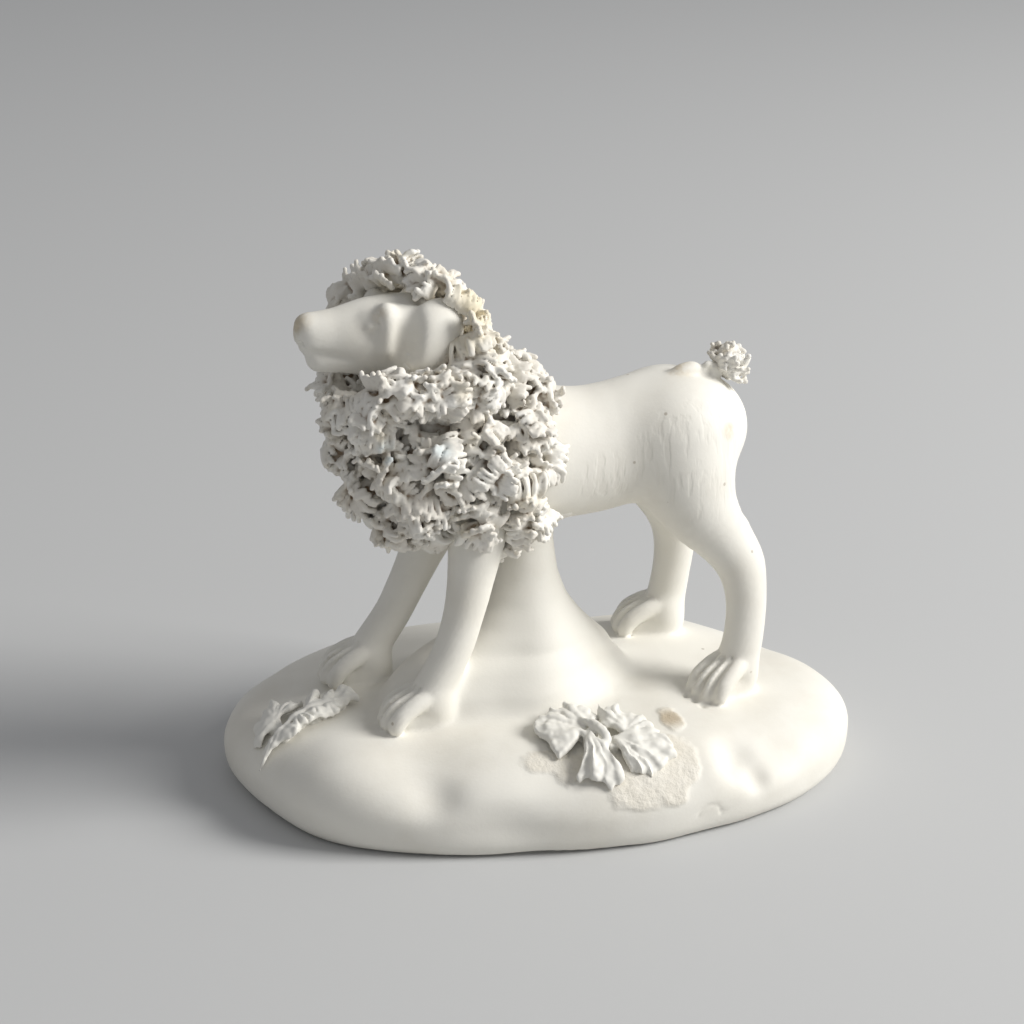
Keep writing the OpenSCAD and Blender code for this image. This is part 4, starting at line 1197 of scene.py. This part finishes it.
class Finish:
    def __init__(self, name):
        self.material = bpy.data.materials.new(name)
        self.material.use_nodes = True
        self.tree = self.material.node_tree
        self.shader = self.tree.nodes["Principled BSDF"]
        self.place = self.node("ShaderNodeTexCoord").outputs["Object"]

    def node(self, kind, **values):
        made = self.tree.nodes.new(kind)
        for key, value in values.items():
            setattr(made, key, value)
        return made

    def put(self, socket, value):
        if hasattr(value, "default_value") or isinstance(value, bpy.types.NodeSocket):
            self.tree.links.new(value, socket)
        else:
            socket.default_value = value

    def paint(self, socket, colour):
        self.put(socket, colour if isinstance(colour, bpy.types.NodeSocket) else tuple(colour) + (1.0,))

    def noise(self, scale, detail=3.0, rough=0.55, place=None):
        made = self.node("ShaderNodeTexNoise")
        self.put(made.inputs["Vector"], place or self.place)
        self.put(made.inputs["Scale"], scale)
        self.put(made.inputs["Detail"], detail)
        self.put(made.inputs["Roughness"], rough)
        return made.outputs["Fac"]

    def ramp(self, value, low, high, start=0.0, end=1.0):
        made = self.node("ShaderNodeMapRange", interpolation_type="SMOOTHSTEP")
        for socket, item in zip(made.inputs, (value, low, high, start, end)):
            self.put(socket, item)
        return made.outputs["Result"]

    def sum(self, kind, a, b):
        made = self.node("ShaderNodeMath", operation=kind)
        self.put(made.inputs[0], a)
        self.put(made.inputs[1], b)
        return made.outputs[0]

    def mix(self, share, a, b):
        made = self.node("ShaderNodeMix", data_type="RGBA")
        self.put(made.inputs["Factor"], share)
        for socket, item in ((made.inputs[6], a), (made.inputs[7], b)):
            self.paint(socket, item)
        return made.outputs[2]

    def spot(self, centre, reach, place=None):
        # one at a point of the model, in millimetres, falling to nothing at its reach
        away = self.node("ShaderNodeVectorMath", operation="DISTANCE")
        self.put(away.inputs[0], place or self.place)
        self.put(away.inputs[1], tuple(c * 0.001 for c in centre))
        return self.ramp(away.outputs["Value"], reach * 0.001, reach * 0.0002)

    def bump(self, height, strength, distance):
        made = self.node("ShaderNodeBump")
        self.put(made.inputs["Height"], height)
        self.put(made.inputs["Strength"], strength)
        self.put(made.inputs["Distance"], distance * 0.001)
        return made.outputs["Normal"]

    def done(self, colour, roughness, normal=None):
        self.paint(self.shader.inputs["Base Color"], colour)
        self.put(self.shader.inputs["Roughness"], roughness)
        self.put(self.shader.inputs["Specular IOR Level"], 0.3)
        if normal:
            self.put(self.shader.inputs["Normal"], normal)
        return self.material


def bisqueFinish(name):
    f = Finish(name)
    s = finishSettings
    colour = f.mix(f.sum("MULTIPLY", f.ramp(f.noise(70, 5, 0.6), 0.42, 0.72), 0.5), s["bisque"], s["bisqueDull"])
    # yellowed where it was handled
    for centre, reach, share in s["handled"]:
        mottled = f.ramp(f.noise(420, 4, 0.65), 0.3, 0.62)
        colour = f.mix(f.sum("MULTIPLY", f.sum("MULTIPLY", f.spot(centre, reach), mottled), share), colour,
                       s["stain"])
    coat = f.node("ShaderNodeAttribute", attribute_name="hollow").outputs["Fac"]
    filler = f.mix(f.ramp(f.noise(420, 4, 0.6), 0.3, 0.8), s["filler"], s["fillerPale"])
    filler = f.mix(f.spot((14.4, -13.6, 11.0), 2.8), filler, s["fillerDeep"])
    colour = f.mix(f.sum("MULTIPLY", coat, 0.75), colour, filler)
    # a few dark specks
    speck = f.node("ShaderNodeTexVoronoi")
    f.put(speck.inputs["Vector"], f.place)
    f.put(speck.inputs["Scale"], 260.0)
    dot = f.ramp(speck.outputs["Distance"], 0.075, 0.04)
    rare = f.node("ShaderNodeSeparateColor")
    f.put(rare.inputs[0], speck.outputs["Color"])
    colour = f.mix(f.sum("MULTIPLY", dot, f.ramp(rare.outputs[0], 0.72, 0.78, 0.0, 0.55)), colour, s["speck"])
    # short combed strokes on the haunch and flank
    flow = f.node("ShaderNodeMapping")
    f.put(flow.inputs["Vector"], f.place)
    flow.inputs["Rotation"].default_value = (0, math.radians(-14), 0)
    flow.inputs["Scale"].default_value = (1.0, 1.0, 0.26)
    stroke = f.ramp(f.noise(980, 2, 0.4, flow.outputs["Vector"]), 0.45, 0.66)
    haunch, flank, farHaunch = [f.spot(*spot) for spot in s["combed"]]
    region = f.sum("MAXIMUM", haunch, f.sum("MAXIMUM", flank, farHaunch))
    lines = f.sum("MULTIPLY", stroke, f.ramp(region, 0.05, 0.5))
    height = f.sum("ADD", f.sum("MULTIPLY", lines, -0.3), f.sum("MULTIPLY", f.noise(2600, 3, 0.6), 0.12))
    height = f.sum("ADD", height, f.sum("MULTIPLY", f.noise(500, 4, 0.6), 0.12))
    height = f.sum("ADD", height, f.sum("MULTIPLY", f.sum("MULTIPLY", coat, f.noise(1500, 4, 0.7)), 1.6))
    colour = f.mix(f.sum("MULTIPLY", lines, 0.12), colour, s["bisqueDull"])
    return f.done(colour, s["roughness"], f.bump(height, 0.7, 0.16))


def shredFinish(name):
    f = Finish(name)
    s = finishSettings
    deep = f.node("ShaderNodeAttribute", attribute_name="hollow").outputs["Fac"]
    colour = f.mix(f.ramp(f.noise(210, 3), 0.4, 0.62), s["shred"], s["shredPale"])
    cream = f.sum("MULTIPLY", f.spot((-9.5, -4.0, 61.5), 8.5), f.ramp(f.noise(260, 3, 0.5), 0.36, 0.56))
    colour = f.mix(f.sum("MULTIPLY", cream, 0.8), colour, s["shredCream"])
    colour = f.mix(f.sum("MULTIPLY", f.ramp(f.noise(150, 2, 0.5), 0.58, 0.7), 0.4), colour, s["shredCream"])
    for spot in s["blue"]:
        colour = f.mix(f.sum("MULTIPLY", f.spot(*spot), 0.6), colour, s["shredBlue"])
    # painted shade: the strands darken to deep brown down in the hollows between them, where shade falls
    colour = f.mix(f.ramp(deep, 0.0, 0.34, 0.0, 0.95), colour, s["shredPaintedShade"])
    return f.done(colour, s["shredRoughness"], f.bump(f.noise(1900, 3), 0.3, 0.08))


def leafFinish(name):
    f = Finish(name)
    s = finishSettings
    deep = f.node("ShaderNodeAttribute", attribute_name="hollow").outputs["Fac"]
    # painted shade: the leaf darkens to brown in the hollows of its pleats, where shade falls
    colour = f.mix(f.ramp(deep, 0.05, 0.35, 0.0, 0.8), s["leaf"], s["leafPaintedShade"])
    return f.done(colour, s["leafRoughness"], f.bump(f.noise(1500, 3), 0.2, 0.08))


bisque, shred, leafClay = bisqueFinish("bisque"), shredFinish("shreddedClay"), leafFinish("leafClay")


def bodySlot(name):
    return "bisque_base" if name in ("base_mound", "stump") else "bisque_body"


for pieces, finish, slotOf in ((bodyPieces, bisque, bodySlot), (manePieces, shred, lambda n: "shredded_clay"),
                               (tuftPieces, shred, lambda n: "shredded_clay"),
                               (leafPieces, leafClay, lambda n: "leaf_clay")):
    for name, piece in pieces.items():
        piece.data.materials.append(finish)
        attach(piece, "root")
        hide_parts(name)
        slotOf(name)
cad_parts["base_floor"].data.materials.clear()
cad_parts["base_floor"].data.materials.append(bisque)

# floor and light
studioSettings = {"floor": (0.56, 0.565, 0.565), "floorRoughness": 0.85, "key": 11.4,
                  "keyPlace": (0.8, -0.21, 0.55), "keySize": 0.42, "sky": (0.96, 0.97, 1.0), "skyPower": 0.33}


def studio():
    s = studioSettings
    data = meshFrom("floor", np.array([(-3, -3, 0), (3, -3, 0), (3, 5, 0), (-3, 5, 0)]), np.array([[0, 1, 2, 3]]))
    floor = bpy.data.objects.new("floor", data)
    bpy.context.scene.collection.objects.link(floor)
    f = Finish("studioFloor")
    data.materials.append(f.done(s["floor"], s["floorRoughness"]))
    lamp = bpy.data.lights.new("key", "AREA")
    lamp.energy, lamp.size, lamp.color = s["key"], s["keySize"], (1.0, 0.985, 0.96)
    key = bpy.data.objects.new("key", lamp)
    key.location = s["keyPlace"]
    key.rotation_euler = (Vector((0, 0, 0.03)) - Vector(s["keyPlace"])).to_track_quat("-Z", "Y").to_euler()
    bpy.context.scene.collection.objects.link(key)
    world = bpy.data.worlds.new("studio")
    bpy.context.scene.world = world
    world.use_nodes = True
    world.node_tree.nodes["Background"].inputs["Color"].default_value = tuple(s["sky"]) + (1.0,)
    world.node_tree.nodes["Background"].inputs["Strength"].default_value = s["skyPower"]
    bpy.context.scene.view_settings.view_transform = "Standard"


studio()
print("studio set")
